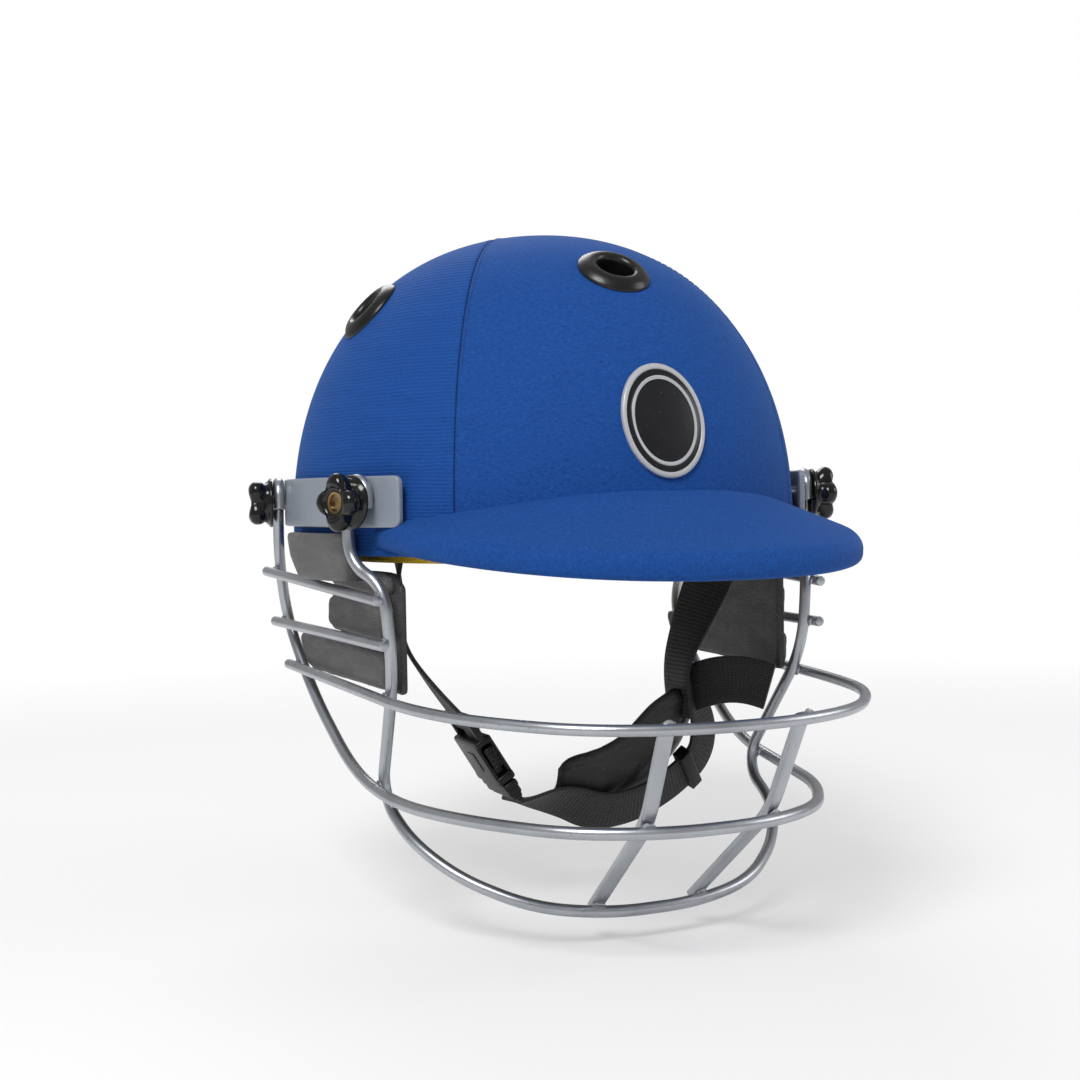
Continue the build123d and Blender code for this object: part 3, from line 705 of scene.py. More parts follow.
def tube(
    name: str, path: Array, radius: float, material: bpy.types.Material, sides: int = 18
) -> bpy.types.Object:
    """Round wire along a path, its ends a little rounded.

    Args:
        name: the object's name.
        path: its middle line, in millimetres.
        radius: half the wire's thickness.
        material: its finish.
        sides: points round it.
    """
    across, out = frames_along(path, np.array([0.31, 0.17, 0.93]))
    cut = [(radius * math.cos(t), radius * math.sin(t)) for t in turns_round(sides)]
    points, faces = sweep(path, across, out, cut, ((0.55, 0.0), (0.9, 0.25), (1.0, 0.7)))
    return solid_object(name, points, faces, material)


def lathe(
    name: str,
    profile: Pairs,
    place: Matrix,
    material: bpy.types.Material,
    steps: int = 72,
    shape: Callable[[float, float, float], tuple[float, float]] | None = None,
) -> bpy.types.Object:
    """Turned piece.

    Args:
        name: the object's name.
        profile: radius and height of each ring, in millimetres.
        place: where its axis stands.
        material: its finish.
        steps: points round it.
        shape: changes radius and height by the angle.
    """
    points = []
    for radius, height in profile:
        for turn in turns_round(steps):
            r, h = shape(radius, height, turn) if shape else (radius, height)
            points.append(place @ Vector((r * math.cos(turn), r * math.sin(turn), h)))
    return solid_object(name, points, rows_of_faces(len(profile), steps, wrap=True), material)


def ribbon(
    name: str,
    path: Array,
    sides: Array,
    width: float | Array,
    thickness: float,
    material: bpy.types.Material,
) -> bpy.types.Object:
    """Woven band along a path, with rounded edges and its own map.

    Args:
        name: the object's name.
        path: its middle line, in millimetres.
        sides: the direction across the band at each point.
        width: its width, or the width at each point.
        thickness: its thickness.
        material: its finish.
    """
    along = tangents(path)
    sides = unit(sides - np.sum(sides * along, axis=1)[:, None] * along)
    out = np.cross(along, sides)
    half_widths = np.broadcast_to(np.asarray(width, float), (len(path),)) / 2
    places = (-0.985, -0.9, -0.6, -0.2, 0.2, 0.6, 0.9, 0.985)
    top = [(v, 0.75 if abs(v) > 0.95 else 1.0) for v in places]
    cut = [(-1, 0.0), *top, (1, 0.0), *((v, -h) for v, h in reversed(top))]
    run = run_along(path)
    points, band = [], []
    for i, half in enumerate(half_widths):
        for v, h in cut:
            points.append(path[i] + sides[i] * (v * half) + out[i] * (h * thickness / 2))
            band.append((run[i] * MM, v * half * MM))
    return solid_object(name, points, capped(len(path), len(cut)), material, np.array(band))


def refined(
    name: str,
    node: str,
    material: bpy.types.Material,
    voxel: float,
    rounds: int,
    swell: float,
) -> bpy.types.Object:
    """Soft copy of a CAD node: even small faces, rounded, a little swollen.

    Args:
        name: the object's name.
        node: the CAD node it starts from.
        material: its finish.
        voxel: size of its faces, in millimetres.
        rounds: how often it is smoothed.
        swell: how far its faces stand out afterwards, in millimetres.
    """
    work = bmesh.new()
    work.from_mesh(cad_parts[node].data)
    bmesh.ops.remove_doubles(work, verts=work.verts, dist=1e-6)
    made = placed(name, mesh_from(name, work))
    remesh = made.modifiers.new("even", "REMESH")
    remesh.mode, remesh.voxel_size = "VOXEL", voxel * MM
    relax = made.modifiers.new("relax", "SMOOTH")
    relax.factor, relax.iterations = 0.5, rounds
    puff = made.modifiers.new("puff", "DISPLACE")
    puff.mid_level, puff.strength = 0.0, swell * MM
    shown = made.evaluated_get(bpy.context.evaluated_depsgraph_get())
    final = bpy.data.meshes.new_from_object(shown)
    made.modifiers.clear()
    made.data = final
    final.materials.clear()
    final.materials.append(material)
    smooth(made, 60)
    return made


def boxes(
    name: str,
    place: Matrix,
    parts: Sequence[tuple[Triple, Triple, float]],
    material: bpy.types.Material,
) -> bpy.types.Object:
    """Moulded piece made of boxes with rounded edges.

    Args:
        name: the object's name.
        place: the frame that the boxes stand in.
        parts: lowest corner, highest corner and edge radius of each box, in millimetres.
        material: its finish.
    """
    whole = bmesh.new()
    for low, high, radius in parts:
        size = Vector(high) - Vector(low)
        middle = (Vector(high) + Vector(low)) / 2
        shape = Matrix.Translation(middle) @ Matrix.Diagonal((*size, 1))
        cube = bmesh.ops.create_cube(whole, size=1, matrix=place @ shape)
        edges = list({edge for vertex in cube["verts"] for edge in vertex.link_edges})
        radius = min(radius, min(size) * 0.45)
        bmesh.ops.bevel(whole, geom=edges, offset=radius, segments=4, profile=0.5, affect="EDGES")
    bmesh.ops.scale(whole, vec=(MM, MM, MM), verts=whole.verts)
    bmesh.ops.recalc_face_normals(whole, faces=whole.faces)
    mesh = mesh_from(name, whole)
    mesh.materials.append(material)
    made = placed(name, mesh)
    smooth(made, 50)
    return made


# ---------------------------------------------------------------- the helmet's form


@dataclass(frozen=True)
class DomeForm:
    """The dome's outside, in millimetres, as the CAD model has it."""

    half_width: float = 103.5
    half_length: float = 118.5
    top: float = 130.5
    widest: float = 8.5
    fullness: float = 2.2
    search: tuple[float, float] = (-30.0, 10.0)
    search_steps: int = 30

    @property
    def stretch(self) -> float:
        """Length over width."""
        return self.half_length / self.half_width

    def ring(self, z: Array | float, grow: float = 0.0) -> Array:
        """Half width of the dome at a height."""
        rise = self.top + grow - self.widest
        lift = np.clip((np.asarray(z, float) - self.widest) / rise, 0, 1)
        return (self.half_width + grow) * (1 - lift**self.fullness) ** (1 / self.fullness)

    def height(self, x: float, y: float) -> float:
        """Height of the dome over a point."""
        reach = np.hypot(x, y / self.stretch) / self.half_width
        lift = (1 - np.clip(reach, 0, 1) ** self.fullness) ** (1 / self.fullness)
        return self.widest + (self.top - self.widest) * lift

    def around(self, half: float, turn: float, z: float) -> Triple:
        """Point of an oval ring with the dome's proportions."""
        return half * math.cos(turn), half * self.stretch * math.sin(turn), z

    def place(self, x: float, y: float) -> Matrix:
        """Matrix that stands on the dome over a point, Z pointing out."""
        z = float(self.height(x, y))
        half_y = self.half_width * self.stretch
        rise = self.top - self.widest
        reach = math.hypot(x / self.half_width, y / half_y)
        spread = reach ** (self.fullness - 2)
        lift = ((z - self.widest) / rise) ** (self.fullness - 1)
        normal = Vector((spread * x / self.half_width**2, spread * y / half_y**2, lift / rise))
        turn = normal.normalized().to_track_quat("Z", "Y")
        return Matrix.Translation((x, y, z)) @ turn.to_matrix().to_4x4()

    def inside(self, point: Vector) -> bool:
        """Whether a point lies under the dome's surface."""
        return point.z < float(self.height(point.x, point.y))

    def drop(self, place: Matrix, x: float, y: float, lift: float) -> Vector:
        """Point at a distance above the dome, over a spot of a plane that stands on it."""
        low, high = self.search
        for _ in range(self.search_steps):
            middle = (low + high) / 2
            spot = place @ Vector((x, y, middle))
            reach = math.hypot(spot.x, spot.y / self.stretch)
            if spot.z > self.widest:
                outside = reach >= self.half_width or not self.inside(spot)
            else:
                outside = reach > self.half_width
            low, high = (low, middle) if outside else (middle, high)
        return place @ Vector((x, y, (low + high) / 2 + lift))


DOME = DomeForm()


@dataclass
class Cover:
    """Knitted cover of the dome: front and rear panel, seams, hem, and the peak's own cover."""

    apex_y: float = 24.0
    foot_x: float = 72.0
    foot_y: float = -84.0
    cloth: float = 0.7
    groove: float = 0.5
    groove_width: float = 0.5
    seam_roll: float = 0.14
    seam_roll_place: float = 2.0
    seam_roll_width: float = 1.0
    pucker: float = 0.10
    pucker_width: float = 2.6
    pucker_rate: float = 1.9
    hem_swell: float = 0.25
    hem_swell_height: float = 2.5
    seam_cuts: tuple[float, ...] = (-3.0, -1.8, -1.0, -0.6, -0.3, 0.0, 0.3, 0.6, 1.0, 1.8, 3.0)
    steps_round: int = 300
    steps_up: int = 110
    hem_steps: int = 360
    hem_cut: tuple[tuple[float, float], ...] = (
        (0.15, 2.2),
        (0.42, 1.0),
        (0.40, 0.0),
        (0.05, -0.75),
        (-0.8, -1.0),
        (-3.0, -1.05),
        (-6.0, -1.0),
        (-6.8, -0.8),
        (-7.0, -0.2),
    )
    hem_ripple: float = 0.16
    vent_radius: float = 10.2
    vent_depth: float = 12.0
    stitch: float = 1.7
    stitch_pitch: float = 3.0
    stitch_inset: float = 1.7
    stitch_rise: float = 0.10
    stitch_low: float = 20.0
    stitch_start: float = 3.0
    stitch_end: float = 118.0
    stitch_reach: float = 100.0
    thread_half: float = 0.26
    thread_top: float = 0.24
    thread_root: float = 0.3
    peak_half_width: float = 93.0
    peak_root_y: float = -46.0
    peak_length: float = 128.0
    peak_squareness: float = 2.28
    peak_edge: float = 0.5
    peak_thickness: float = 10.5
    peak_round: float = 4.4
    peak_tilt: float = 5.0
    peak_rise: float = 18.5
    peak_crown: float = 0.5
    peak_sink: float = 3.0

    def build(self) -> None:
        """Builds and dresses all the cloth pieces."""
        weaves = (Weave.TWILL, Weave.ROWS, Weave.PEAK)
        front, rows, flat = (KnitCloth(weave).make() for weave in weaves)
        work = self.whole()
        self.press(work)
        ride(self.panel(work, front, "cover_front_cloth", True), "helmet", "cloth", "cover_front")
        ride(self.panel(work, rows, "cover_rear_cloth", False), "helmet", "cloth", "cover_rear")
        ride(self.peak(flat), "helmet", "cloth", "cover_peak")
        ride(self.hem(rows), "helmet", "cloth", "cover_hem")
        thread = MouldedPlastic("thread", (0.004, 0.028, 0.13), (0.008, 0.045, 0.18), 0.7).make()
        for side in Side:
            ride(self.stitches(side, thread), "helmet", "cloth")

    def seam_run(self, side: Side) -> Vector:
        """Direction of one seam in plan, from its apex to its foot."""
        return Vector((side.value * self.foot_x, self.foot_y - self.apex_y, 0)).normalized()

    def seam_distance(self, x: float, y: float, side: Side) -> float:
        """Distance in plan from one seam's plane, positive inside the front panel."""
        run = unit(np.array([side.value * self.foot_x, self.foot_y - self.apex_y]))
        return float((x * run[1] - (y - self.apex_y) * run[0]) * side.value)

    def whole(self) -> bmesh.types.BMesh:
        """Builds the dome's cloth in one piece, with extra edges beside the seams."""
        rise, power = DOME.top - DOME.widest, 2 / DOME.fullness
        turns = np.linspace(0, math.pi / 2, self.steps_up)[:-1]
        heights = [0.0, 2.0, 4.0, 6.0] + [DOME.widest + rise * math.sin(t) ** power for t in turns]
        points = []
        for z in heights:
            half = float(DOME.ring(z))
            points += [DOME.around(half, turn, z) for turn in turns_round(self.steps_round)]
        tip = len(points)
        last = tip - self.steps_round
        points.append((0, 0, DOME.top))
        faces = rows_of_faces(len(heights), self.steps_round, wrap=True)
        for k in range(self.steps_round):
            faces.append((last + k, last + (k + 1) % self.steps_round, tip))
        mesh = bpy.data.meshes.new("cloth_whole")
        mesh.from_pydata((np.array(points) * MM).tolist(), [], faces)
        work = bmesh.new()
        work.from_mesh(mesh)
        for side in Side:
            run = self.seam_run(side)
            normal = Vector((-run.y, run.x, 0))
            for offset in self.seam_cuts:
                start = (Vector((0, self.apex_y, 0)) + normal * offset) * MM
                whole = work.verts[:] + work.edges[:] + work.faces[:]
                bmesh.ops.bisect_plane(work, geom=whole, plane_co=start, plane_no=normal, dist=1e-7)
        work.normal_update()
        return work

    def press(self, work: bmesh.types.BMesh) -> None:
        """Presses the seams in, swells the hem and opens the vents."""
        for vertex in work.verts:
            x, y, z = (value / MM for value in vertex.co)
            near = [abs(self.seam_distance(x, y, side)) for side in Side if side.value * x >= -1]
            if y < self.apex_y + 1 and near:
                gap = min(near)
                run = math.hypot(x, y - self.apex_y)
                sink = -self.groove * bell(gap, self.groove_width)
                roll = self.seam_roll * bell(gap - self.seam_roll_place, self.seam_roll_width)
                wave = self.pucker * math.sin(run * self.pucker_rate)
                pucker = wave * bell(gap, self.pucker_width)
                vertex.co += vertex.normal * ((sink + roll + pucker) * MM)
            vertex.co += vertex.normal * (self.hem_swell * bell(z, self.hem_swell_height) * MM)
        holes = [face for face in work.faces if self.in_vent(face.calc_center_median())]
        bmesh.ops.delete(work, geom=holes, context="FACES")

    def in_vent(self, centre: Vector) -> bool:
        """Whether a spot lies in a vent's hole."""
        for x, y in VENTS.values():
            local = DOME.place(x, y).inverted() @ (centre / MM)
            near = abs(local.z) < self.vent_depth
            if near and math.hypot(local.x, local.y) < self.vent_radius:
                return True
        return False

    def panel(
        self, work: bmesh.types.BMesh, material: bpy.types.Material, name: str, front: bool
    ) -> bpy.types.Object:
        """Keeps one panel's faces.

        Args:
            work: the whole cloth.
            material: the panel's finish.
            name: the panel's name.
            front: whether it is the front panel.

        Returns:
            The panel.
        """
        piece = work.copy()
        drop = []
        for face in piece.faces:
            centre = face.calc_center_median() / MM
            ahead = all(self.seam_distance(centre.x, centre.y, side) > 0 for side in Side)
            if ahead != front:
                drop.append(face)
        bmesh.ops.delete(piece, geom=drop, context="FACES")
        mesh = mesh_from(name, piece)
        mesh.materials.append(material)
        made = placed(name, mesh)
        smooth(made, 70)
        back = made.modifiers.new("wall", "SOLIDIFY")
        back.thickness, back.offset = self.cloth * MM, -1
        return made

    def stitches(self, side: Side, thread: bpy.types.Material) -> bpy.types.Object:
        """Row of stitches beside one seam."""
        run = self.seam_run(side)
        beside = Vector((-run.y, run.x, 0)) * side.value * -self.stitch_inset
        points: list[Vector] = []
        faces: list[tuple[int, ...]] = []
        place = self.stitch_start
        while place < self.stitch_end:
            spots = []
            for step in (0.0, self.stitch):
                flat = Vector((0, self.apex_y, 0)) + run * (place + step) + beside
                height = float(DOME.height(flat.x, flat.y)) + self.stitch_rise
                spots.append(Vector((flat.x, flat.y, height)))
            start, end = spots
            reach = math.hypot(end.x, end.y / DOME.stretch)
            if start.z > self.stitch_low and reach < self.stitch_reach:
                up = Vector((start.x, start.y, 60)).normalized()
                wide = (end - start).normalized().cross(up).normalized() * self.thread_half
                high, low = up * self.thread_top, up * self.thread_root
                faces += capped(2, 4, len(points))
                for spot in spots:
                    points += [spot - wide, spot + high, spot + wide, spot - low]
            place += self.stitch_pitch / math.hypot(1.0, abs(end.z - start.z) / self.stitch)
        return solid_object(f"seam_stitches_{side.word}", points, faces, thread)

    def outline(self, steps: int) -> tuple[Array, Array]:
        """The peak's edge in plan and its outward direction."""
        turns = np.linspace(0, math.pi, steps)
        power = 2 / self.peak_squareness
        x = self.peak_half_width * np.sign(np.cos(turns)) * np.abs(np.cos(turns)) ** power
        y = self.peak_root_y - self.peak_length * np.abs(np.sin(turns)) ** power
        edge = even(np.stack([x, y], 1), 1.5)
        run = np.gradient(edge, axis=0)
        out = unit(np.stack([-run[:, 1], run[:, 0]], 1))
        flip = np.sign(np.sum(out * (edge - np.array([0, -80.0])), axis=1))
        return edge, out * flip[:, None]

    def peak(self, cloth: bpy.types.Material) -> bpy.types.Object:
        """Builds the peak's cover with its rounded edge."""
        edge, out = self.outline(700)
        centre = np.array([0.0, self.peak_root_y])
        inner, outer = np.linspace(self.peak_crown, 0.93, 22), np.linspace(0.94, 0.955, 3)
        shares = np.concatenate([inner, outer])
        slope = self.peak_rise / (1 - self.peak_crown)
        rows: list[Array] = []

        def row(flat: Array, drop: float) -> None:
            """Adds one line of points round the peak, at a depth below its top."""
            z = self.peak_edge + (1 - self.share_of(flat, centre)) * slope - drop
            rows.append(np.concatenate([flat, z[:, None]], 1))

        for s in shares:
            row(centre + (edge - centre) * s, 0.0)
        for angle in np.linspace(0.12, 1, 9) * (math.pi / 2):
            inset = self.peak_round * (1 - math.sin(angle))
            row(edge - out * inset, self.peak_round * (1 - math.cos(angle)))
        for angle in np.linspace(0, 0.88, 9) * (math.pi / 2):
            inset = self.peak_round * (1 - math.cos(angle))
            depth = self.peak_thickness - self.peak_round * (1 - math.sin(angle))
            row(edge - out * inset, depth)
        for s in shares[::-1]:
            row(centre + (edge - centre) * s, self.peak_thickness)
        points = np.concatenate(rows)
        tip = self.peak_root_y - self.peak_length
        lean = math.radians(self.peak_tilt)
        y, z = points[:, 1] - tip, points[:, 2].copy()
        points[:, 1] = tip + y * math.cos(lean) - z * math.sin(lean)
        points[:, 2] = y * math.sin(lean) + z * math.cos(lean)
        made = solid_object("cover_peak_cloth", points, rows_of_faces(len(rows), len(edge)), cloth)
        work = bmesh.new()
        work.from_mesh(made.data)
        deep = [face for face in work.faces if all(self.is_deep(v.co / MM) for v in face.verts)]
        bmesh.ops.delete(work, geom=deep, context="FACES")
        work.to_mesh(made.data)
        work.free()
        return made

    def is_deep(self, point: Vector) -> bool:
        """Whether a point of the peak lies well inside the dome, where nothing shows it."""
        reach = math.hypot(point.x, point.y / DOME.stretch)
        return reach < float(DOME.ring(max(point.z, 0.0))) - self.peak_sink

    def share_of(self, flat: Array, centre: Array) -> Array:
        """How far out points lie on the peak, 1 at its edge."""
        local = np.abs((flat - centre) / np.array([self.peak_half_width, self.peak_length]))
        k = self.peak_squareness
        return (local[:, 0] ** k + local[:, 1] ** k) ** (1 / k)

    def hem(self, cloth: bpy.types.Material) -> bpy.types.Object:
        """Builds the cloth rolled under the shell's edge."""
        points = []
        for grow, z in self.hem_cut:
            lump = self.hem_ripple if -6 < grow < 0.1 else 0.0
            for turn in turns_round(self.hem_steps):
                ripple = lump * math.sin(turn * 61 + math.sin(turn * 7) * 2)
                points.append(DOME.around(DOME.half_width + grow, turn, z + ripple))
        faces = rows_of_faces(len(self.hem_cut), self.hem_steps, wrap=True)
        return solid_object("cover_hem_cloth", points, faces, cloth)


@dataclass
class Vent:
    """Black eyelet in a vent hole."""

    radius: float = 14.6
    bore: float = 7.1
    barrel: float = 8.9
    rise: float = 3.0
    tail: float = 12.0
    seat: float = 0.15
    steps: int = 96
    flange: tuple[tuple[float, float], ...] = (
        (1.0, 0.02),
        (1.0, 0.16),
        (0.985, 0.30),
        (0.95, 0.45),
        (0.88, 0.70),
        (0.80, 0.90),
        (0.72, 0.99),
        (0.66, 1.0),
        (0.60, 0.96),
        (0.555, 0.84),
        (0.52, 0.64),
        (0.497, 0.40),
        (0.4885, 0.10),
    )

    def build(self) -> None:
        """Builds the four eyelets."""
        colours = (0.005, 0.005, 0.0055), (0.012, 0.012, 0.013)
        black = MouldedPlastic("eyelet_black", *colours, 0.30, coat=0.1, gloss=0.35).make()
        for word, (x, y) in VENTS.items():
            made = self.eyelet(f"vent_eyelet_{word}", DOME.place(x, y), black)
            ride(made, "helmet", "eyelet_plastic", f"eyelet_{word}")

    def eyelet(self, name: str, place: Matrix, black: bpy.types.Material) -> bpy.types.Object:
        """Builds one eyelet whose flange lies on the dome."""
        points = []
        for share, lift in self.flange:
            r = share * self.radius
            height = self.seat + lift * self.rise
            for turn in turns_round(self.steps):
                points.append(DOME.drop(place, r * math.cos(turn), r * math.sin(turn), height))
        sleeve = [(self.bore, -3.0), (self.bore, -self.tail), (self.barrel - 0.3, -self.tail)]
        sleeve += [(self.barrel, -self.tail + 0.4), (self.barrel, -2.5)]
        for r, h in sleeve:
            for turn in turns_round(self.steps):
                points.append(place @ Vector((r * math.cos(turn), r * math.sin(turn), h)))
        rows = len(self.flange) + len(sleeve)
        return solid_object(name, points, rows_of_faces(rows, self.steps, wrap=True), black)


@dataclass
class Badge:
    """Plain oval badge with a raised rim and a thin bright line inside it."""

    half_width: float = 17.0
    half_height: float = 21.5
    height: float = 48.0
    wall: float = 0.8
    steps: int = 120
    rim: tuple[tuple[float, float], ...] = (
        (1.0, -0.1),
        (1.0, 0.75),
        (0.995, 1.0),
        (0.985, 1.2),
        (0.965, 1.3),
        (0.94, 1.3),
        (0.92, 1.22),
        (0.905, 1.05),
        (0.895, 0.8),
    )
    line: tuple[tuple[float, float], ...] = (
        (0.80, 0.82),
        (0.785, 1.0),
        (0.77, 1.06),
        (0.755, 1.0),
        (0.74, 0.82),
    )

    def build(self) -> None:
        """Builds the badge."""
        colours = (0.42, 0.43, 0.45), (0.32, 0.33, 0.35)
        silver = MouldedPlastic("badge_silver", *colours, roughness=0.35, coat=0.3).make()
        colours = (0.006, 0.0065, 0.008), (0.014, 0.014, 0.016)
        dark = MouldedPlastic("badge_field", *colours, roughness=0.28, coat=0.2, gloss=0.3).make()
        ride(self.oval("badge_rim", self.rim, silver), "helmet", "badge_plastic", "badge")
        flat = [(share, self.wall) for share in np.linspace(0.895, 0.02, 16)]
        outer = [spot for spot in flat if spot[0] > 0.81]
        field_rings = [*outer, *self.line, *(spot for spot in flat if spot[0] < 0.73)]
        made = self.oval("badge_field", field_rings, dark)
        made.data.materials.append(silver)
        bright = range(len(outer) + 1, len(outer) + len(self.line))
        for polygon in made.data.polygons:
            if polygon.index // self.steps in bright:
                polygon.material_index = 1
        ride(made, "helmet", "badge_plastic")

    def oval(self, name: str, rings: Pairs, material: bpy.types.Material) -> bpy.types.Object:
        """Builds oval rings lying on the dome's front.

        Args:
            name: the object's name.
            rings: share of the oval's size and distance from the cloth.
            material: its finish.
        """
        points = []
        for share, lift in rings:
            for turn in turns_round(self.steps):
                x = share * self.half_width * math.cos(turn)
                z = self.height + share * self.half_height * math.sin(turn)
                half = float(DOME.ring(z, lift))
                points.append((x, -DOME.stretch * math.sqrt(max(half**2 - x**2, 0)), z))
        faces = rows_of_faces(len(rings), self.steps, wrap=True)
        if rings[-1][0] < 0.1:
            faces.append(tuple(range((len(rings) - 1) * self.steps, len(rings) * self.steps)))
        return solid_object(name, points, faces, material)


@dataclass
class SideMount:
    """Side plates with their bolts, knobs and inserts."""

    stand: float = 0.5
    flatness: float = 8.0
    wall: float = 2.5
    bottom: float = 10.0
    height: float = 19.5
    front_y: float = -71.0
    rear_y: float = 54.0
    corner: float = 3.0
    bolts: dict[End, float] = field(default_factory=lambda: {End.FRONT: -53.0, End.REAR: 36.0})
    turns: dict[End, float] = field(default_factory=lambda: {End.FRONT: 0.0, End.REAR: 45.0})
    edge: tuple[tuple[float, float], ...] = (
        (0.0, -0.6),
        (0.12, -0.25),
        (0.4, -0.05),
        (0.8, 0.0),
        (2.2, 0.0),
        (5.0, 0.0),
    )
    knob_base: float = 5.2
    knob: tuple[tuple[float, float], ...] = (
        (4.35, 0.0),
        (9.4, 0.0),
        (10.2, 0.15),
        (10.4, 0.7),
        (10.2, 1.3),
        (9.3, 1.9),
        (9.2, 2.6),
        (9.6, 3.6),
        (10.6, 4.6),
        (11.0, 5.6),
        (11.1, 6.8),
        (10.9, 7.9),
        (10.2, 8.9),
        (9.2, 9.6),
        (8.0, 9.95),
        (7.0, 9.9),
        (6.3, 9.5),
        (5.9, 8.9),
        (5.6, 8.3),
        (5.0, 8.0),
        (4.35, 8.0),
        (4.35, 5.0),
    )
    skirt_top: float = 2.2
    hub: float = 6.2
    waist: float = 6.6
    lobes: int = 4
    lobe_dip: float = 1.3
    insert: tuple[tuple[float, float], ...] = (
        (3.06, 1.0),
        (3.06, 7.6),
        (3.3, 8.15),
        (3.6, 8.25),
        (4.1, 8.2),
        (4.24, 8.0),
        (4.24, 5.0),
    )

    def build(self) -> None:
        """Builds both sides."""
        colours = (0.235, 0.265, 0.315), (0.30, 0.33, 0.38)
        grey = MouldedPlastic("plate_grey", *colours, roughness=0.34, coat=0.2, grain=0.35).make()
        colours = (0.004, 0.004, 0.0045), (0.010, 0.010, 0.011)
        black = MouldedPlastic("knob_black", *colours, 0.13, coat=0.25, grain=0.1, gloss=0.3).make()
        brass = TurnedMetal("insert_brass", (0.60, 0.42, 0.17), (0.22, 0.14, 0.06), 0.30).make()
        steel = TurnedMetal("bolt_steel", (0.50, 0.50, 0.52), (0.25, 0.25, 0.26), 0.32).make()
        for node in ("bolts", "rivets"):
            dress(node, steel)
        for side in Side:
            ride(self.plate(side, grey), "helmet", "plate_plastic", f"plate_{side.word}")
            for end in End:
                self.fixing(side, end, black, brass)

    def fixing(
        self, side: Side, end: End, black: bpy.types.Material, brass: bpy.types.Material
    ) -> None:
        """Builds one knob with its insert, and the bolt's end in it."""
        place, word = self.place(side, self.bolts[end], self.knob_base), f"{end.value}_{side.word}"
        body = f"knob_{word}"
        knob = lathe(f"star_{body}", self.knob, place, black, 128, self.lobed(self.turns[end]))
        ride(knob, body, "knob_plastic", body)
        ring = lathe(f"insert_ring_{word}", self.insert, place, brass, 48)
        ride(ring, body, "insert_brass", f"insert_{word}")
        ride(self.bolt_end(f"bolt_end_{word}", place, brass), "helmet", "bolt_steel")

    def point(self, side: Side, y: float, out: float, z: float) -> Triple:
        """Spot on a plate's outer face, moved out."""
        half_x = DOME.half_width + self.stand + self.wall
        half_y = DOME.half_length + self.flatness + self.wall
        x = half_x * math.sqrt(1 - (y / half_y) ** 2)
        normal = unit(np.array([x / half_x**2, y / half_y**2]))
        return side.value * (x + normal[0] * out), y + normal[1] * out, z

    def place(self, side: Side, y: float, out: float) -> Matrix:
        """Matrix on a plate's outer face at a bolt, Z pointing out and Y up."""
        middle = self.bottom + self.height / 2
        origin = Vector(self.point(side, y, out, middle))
        normal = (Vector(self.point(side, y, out + 1, middle)) - origin).normalized()
        along = Vector((0, 0, 1)).cross(normal).normalized()
        turn = Matrix((along, normal.cross(along), normal)).transposed().to_4x4()
        return Matrix.Translation(origin) @ turn

    def plate(self, side: Side, grey: bpy.types.Material) -> bpy.types.Object:
        """Builds one plate with rounded corners and eased edges."""
        half_l, half_h = (self.rear_y - self.front_y) / 2, self.height / 2
        middle, fold = (self.rear_y + self.front_y) / 2, half_h - 0.02
        rings = [(fold, -self.wall), (0.5, -self.wall), (0.0, -self.wall + 0.5)]
        rings += [*self.edge, (fold, 0.0)]
        loops = [
            self.loop(half_l - inset, half_h - inset, max(self.corner - inset, 0.02))
            for inset, _ in rings
        ]
        points = [
            self.point(side, middle + u, out, self.bottom + half_h + v)
            for (_, out), loop in zip(rings, loops)
            for u, v in loop
        ]
        faces = rows_of_faces(len(rings), len(loops[0]), wrap=True)
        return solid_object(f"side_plate_{side.word}", points, faces, grey)

    def loop(self, half_l: float, half_h: float, corner: float) -> list[tuple[float, float]]:
        """Points round a rounded rectangle, as many for every size."""
        corner = min(corner, half_h, half_l)

        def spot(quarter: int, turn: float) -> Array:
            """Point of one rounded corner."""
            sx, sy = CORNERS[(quarter + 2) % 4]
            middle = np.array([sx * (half_l - corner), sy * (half_h - corner)])
            return middle + corner * np.array([math.cos(turn), math.sin(turn)])

        points = []
        for k in range(4):
            start, end = k * math.pi / 2, (k + 1) * math.pi / 2
            points += [spot(k, start + t) for t in np.linspace(0, math.pi / 2, 7)]
            steps = 40 if k in (0, 2) else 6
            first, last = points[-1], spot(k + 1, end)
            points += [first + (last - first) * t for t in np.linspace(0, 1, steps + 1)[1:-1]]
        return [tuple(point) for point in points]

    def lobed(self, degrees: float) -> Callable[[float, float, float], tuple[float, float]]:
        """Shape of a star knob's wall.

        Args:
            degrees: where its first lobe points.

        Returns:
            The function that draws the wall in between the lobes.
        """
        start = math.radians(degrees)

        def shape(radius: float, z: float, angle: float) -> tuple[float, float]:
            """Draws the wall in between the lobes."""
            if z < self.skirt_top or radius < self.hub:
                return radius, z
            lobe = (0.5 + 0.5 * math.cos(self.lobes * (angle - start))) ** 0.62
            low = self.waist + (radius - self.waist) * (0.12 if z > 3 else 0.6)
            fade = held((z - self.skirt_top) / 1.4)
            dip = (1 - lobe) * self.lobe_dip * held((z - 6.0) / 3.5)
            return radius + (low + (radius - low) * lobe - radius) * fade, z - dip

        return shape

    def bolt_end(self, name: str, place: Matrix, metal: bpy.types.Material) -> bpy.types.Object:
        """Builds the bolt's end with a few turns of thread."""
        profile = [(2.6, 3.0), (2.92, 3.4)]
        z = 3.6
        while z < 6.2:
            profile += [(2.92, z), (2.62, z + 0.25), (2.92, z + 0.5)]
            z += 0.55
        profile += [(2.9, 6.3), (2.5, 6.75), (1.6, 6.85), (0.02, 6.9)]
        return lathe(name, profile, place, metal, 40)


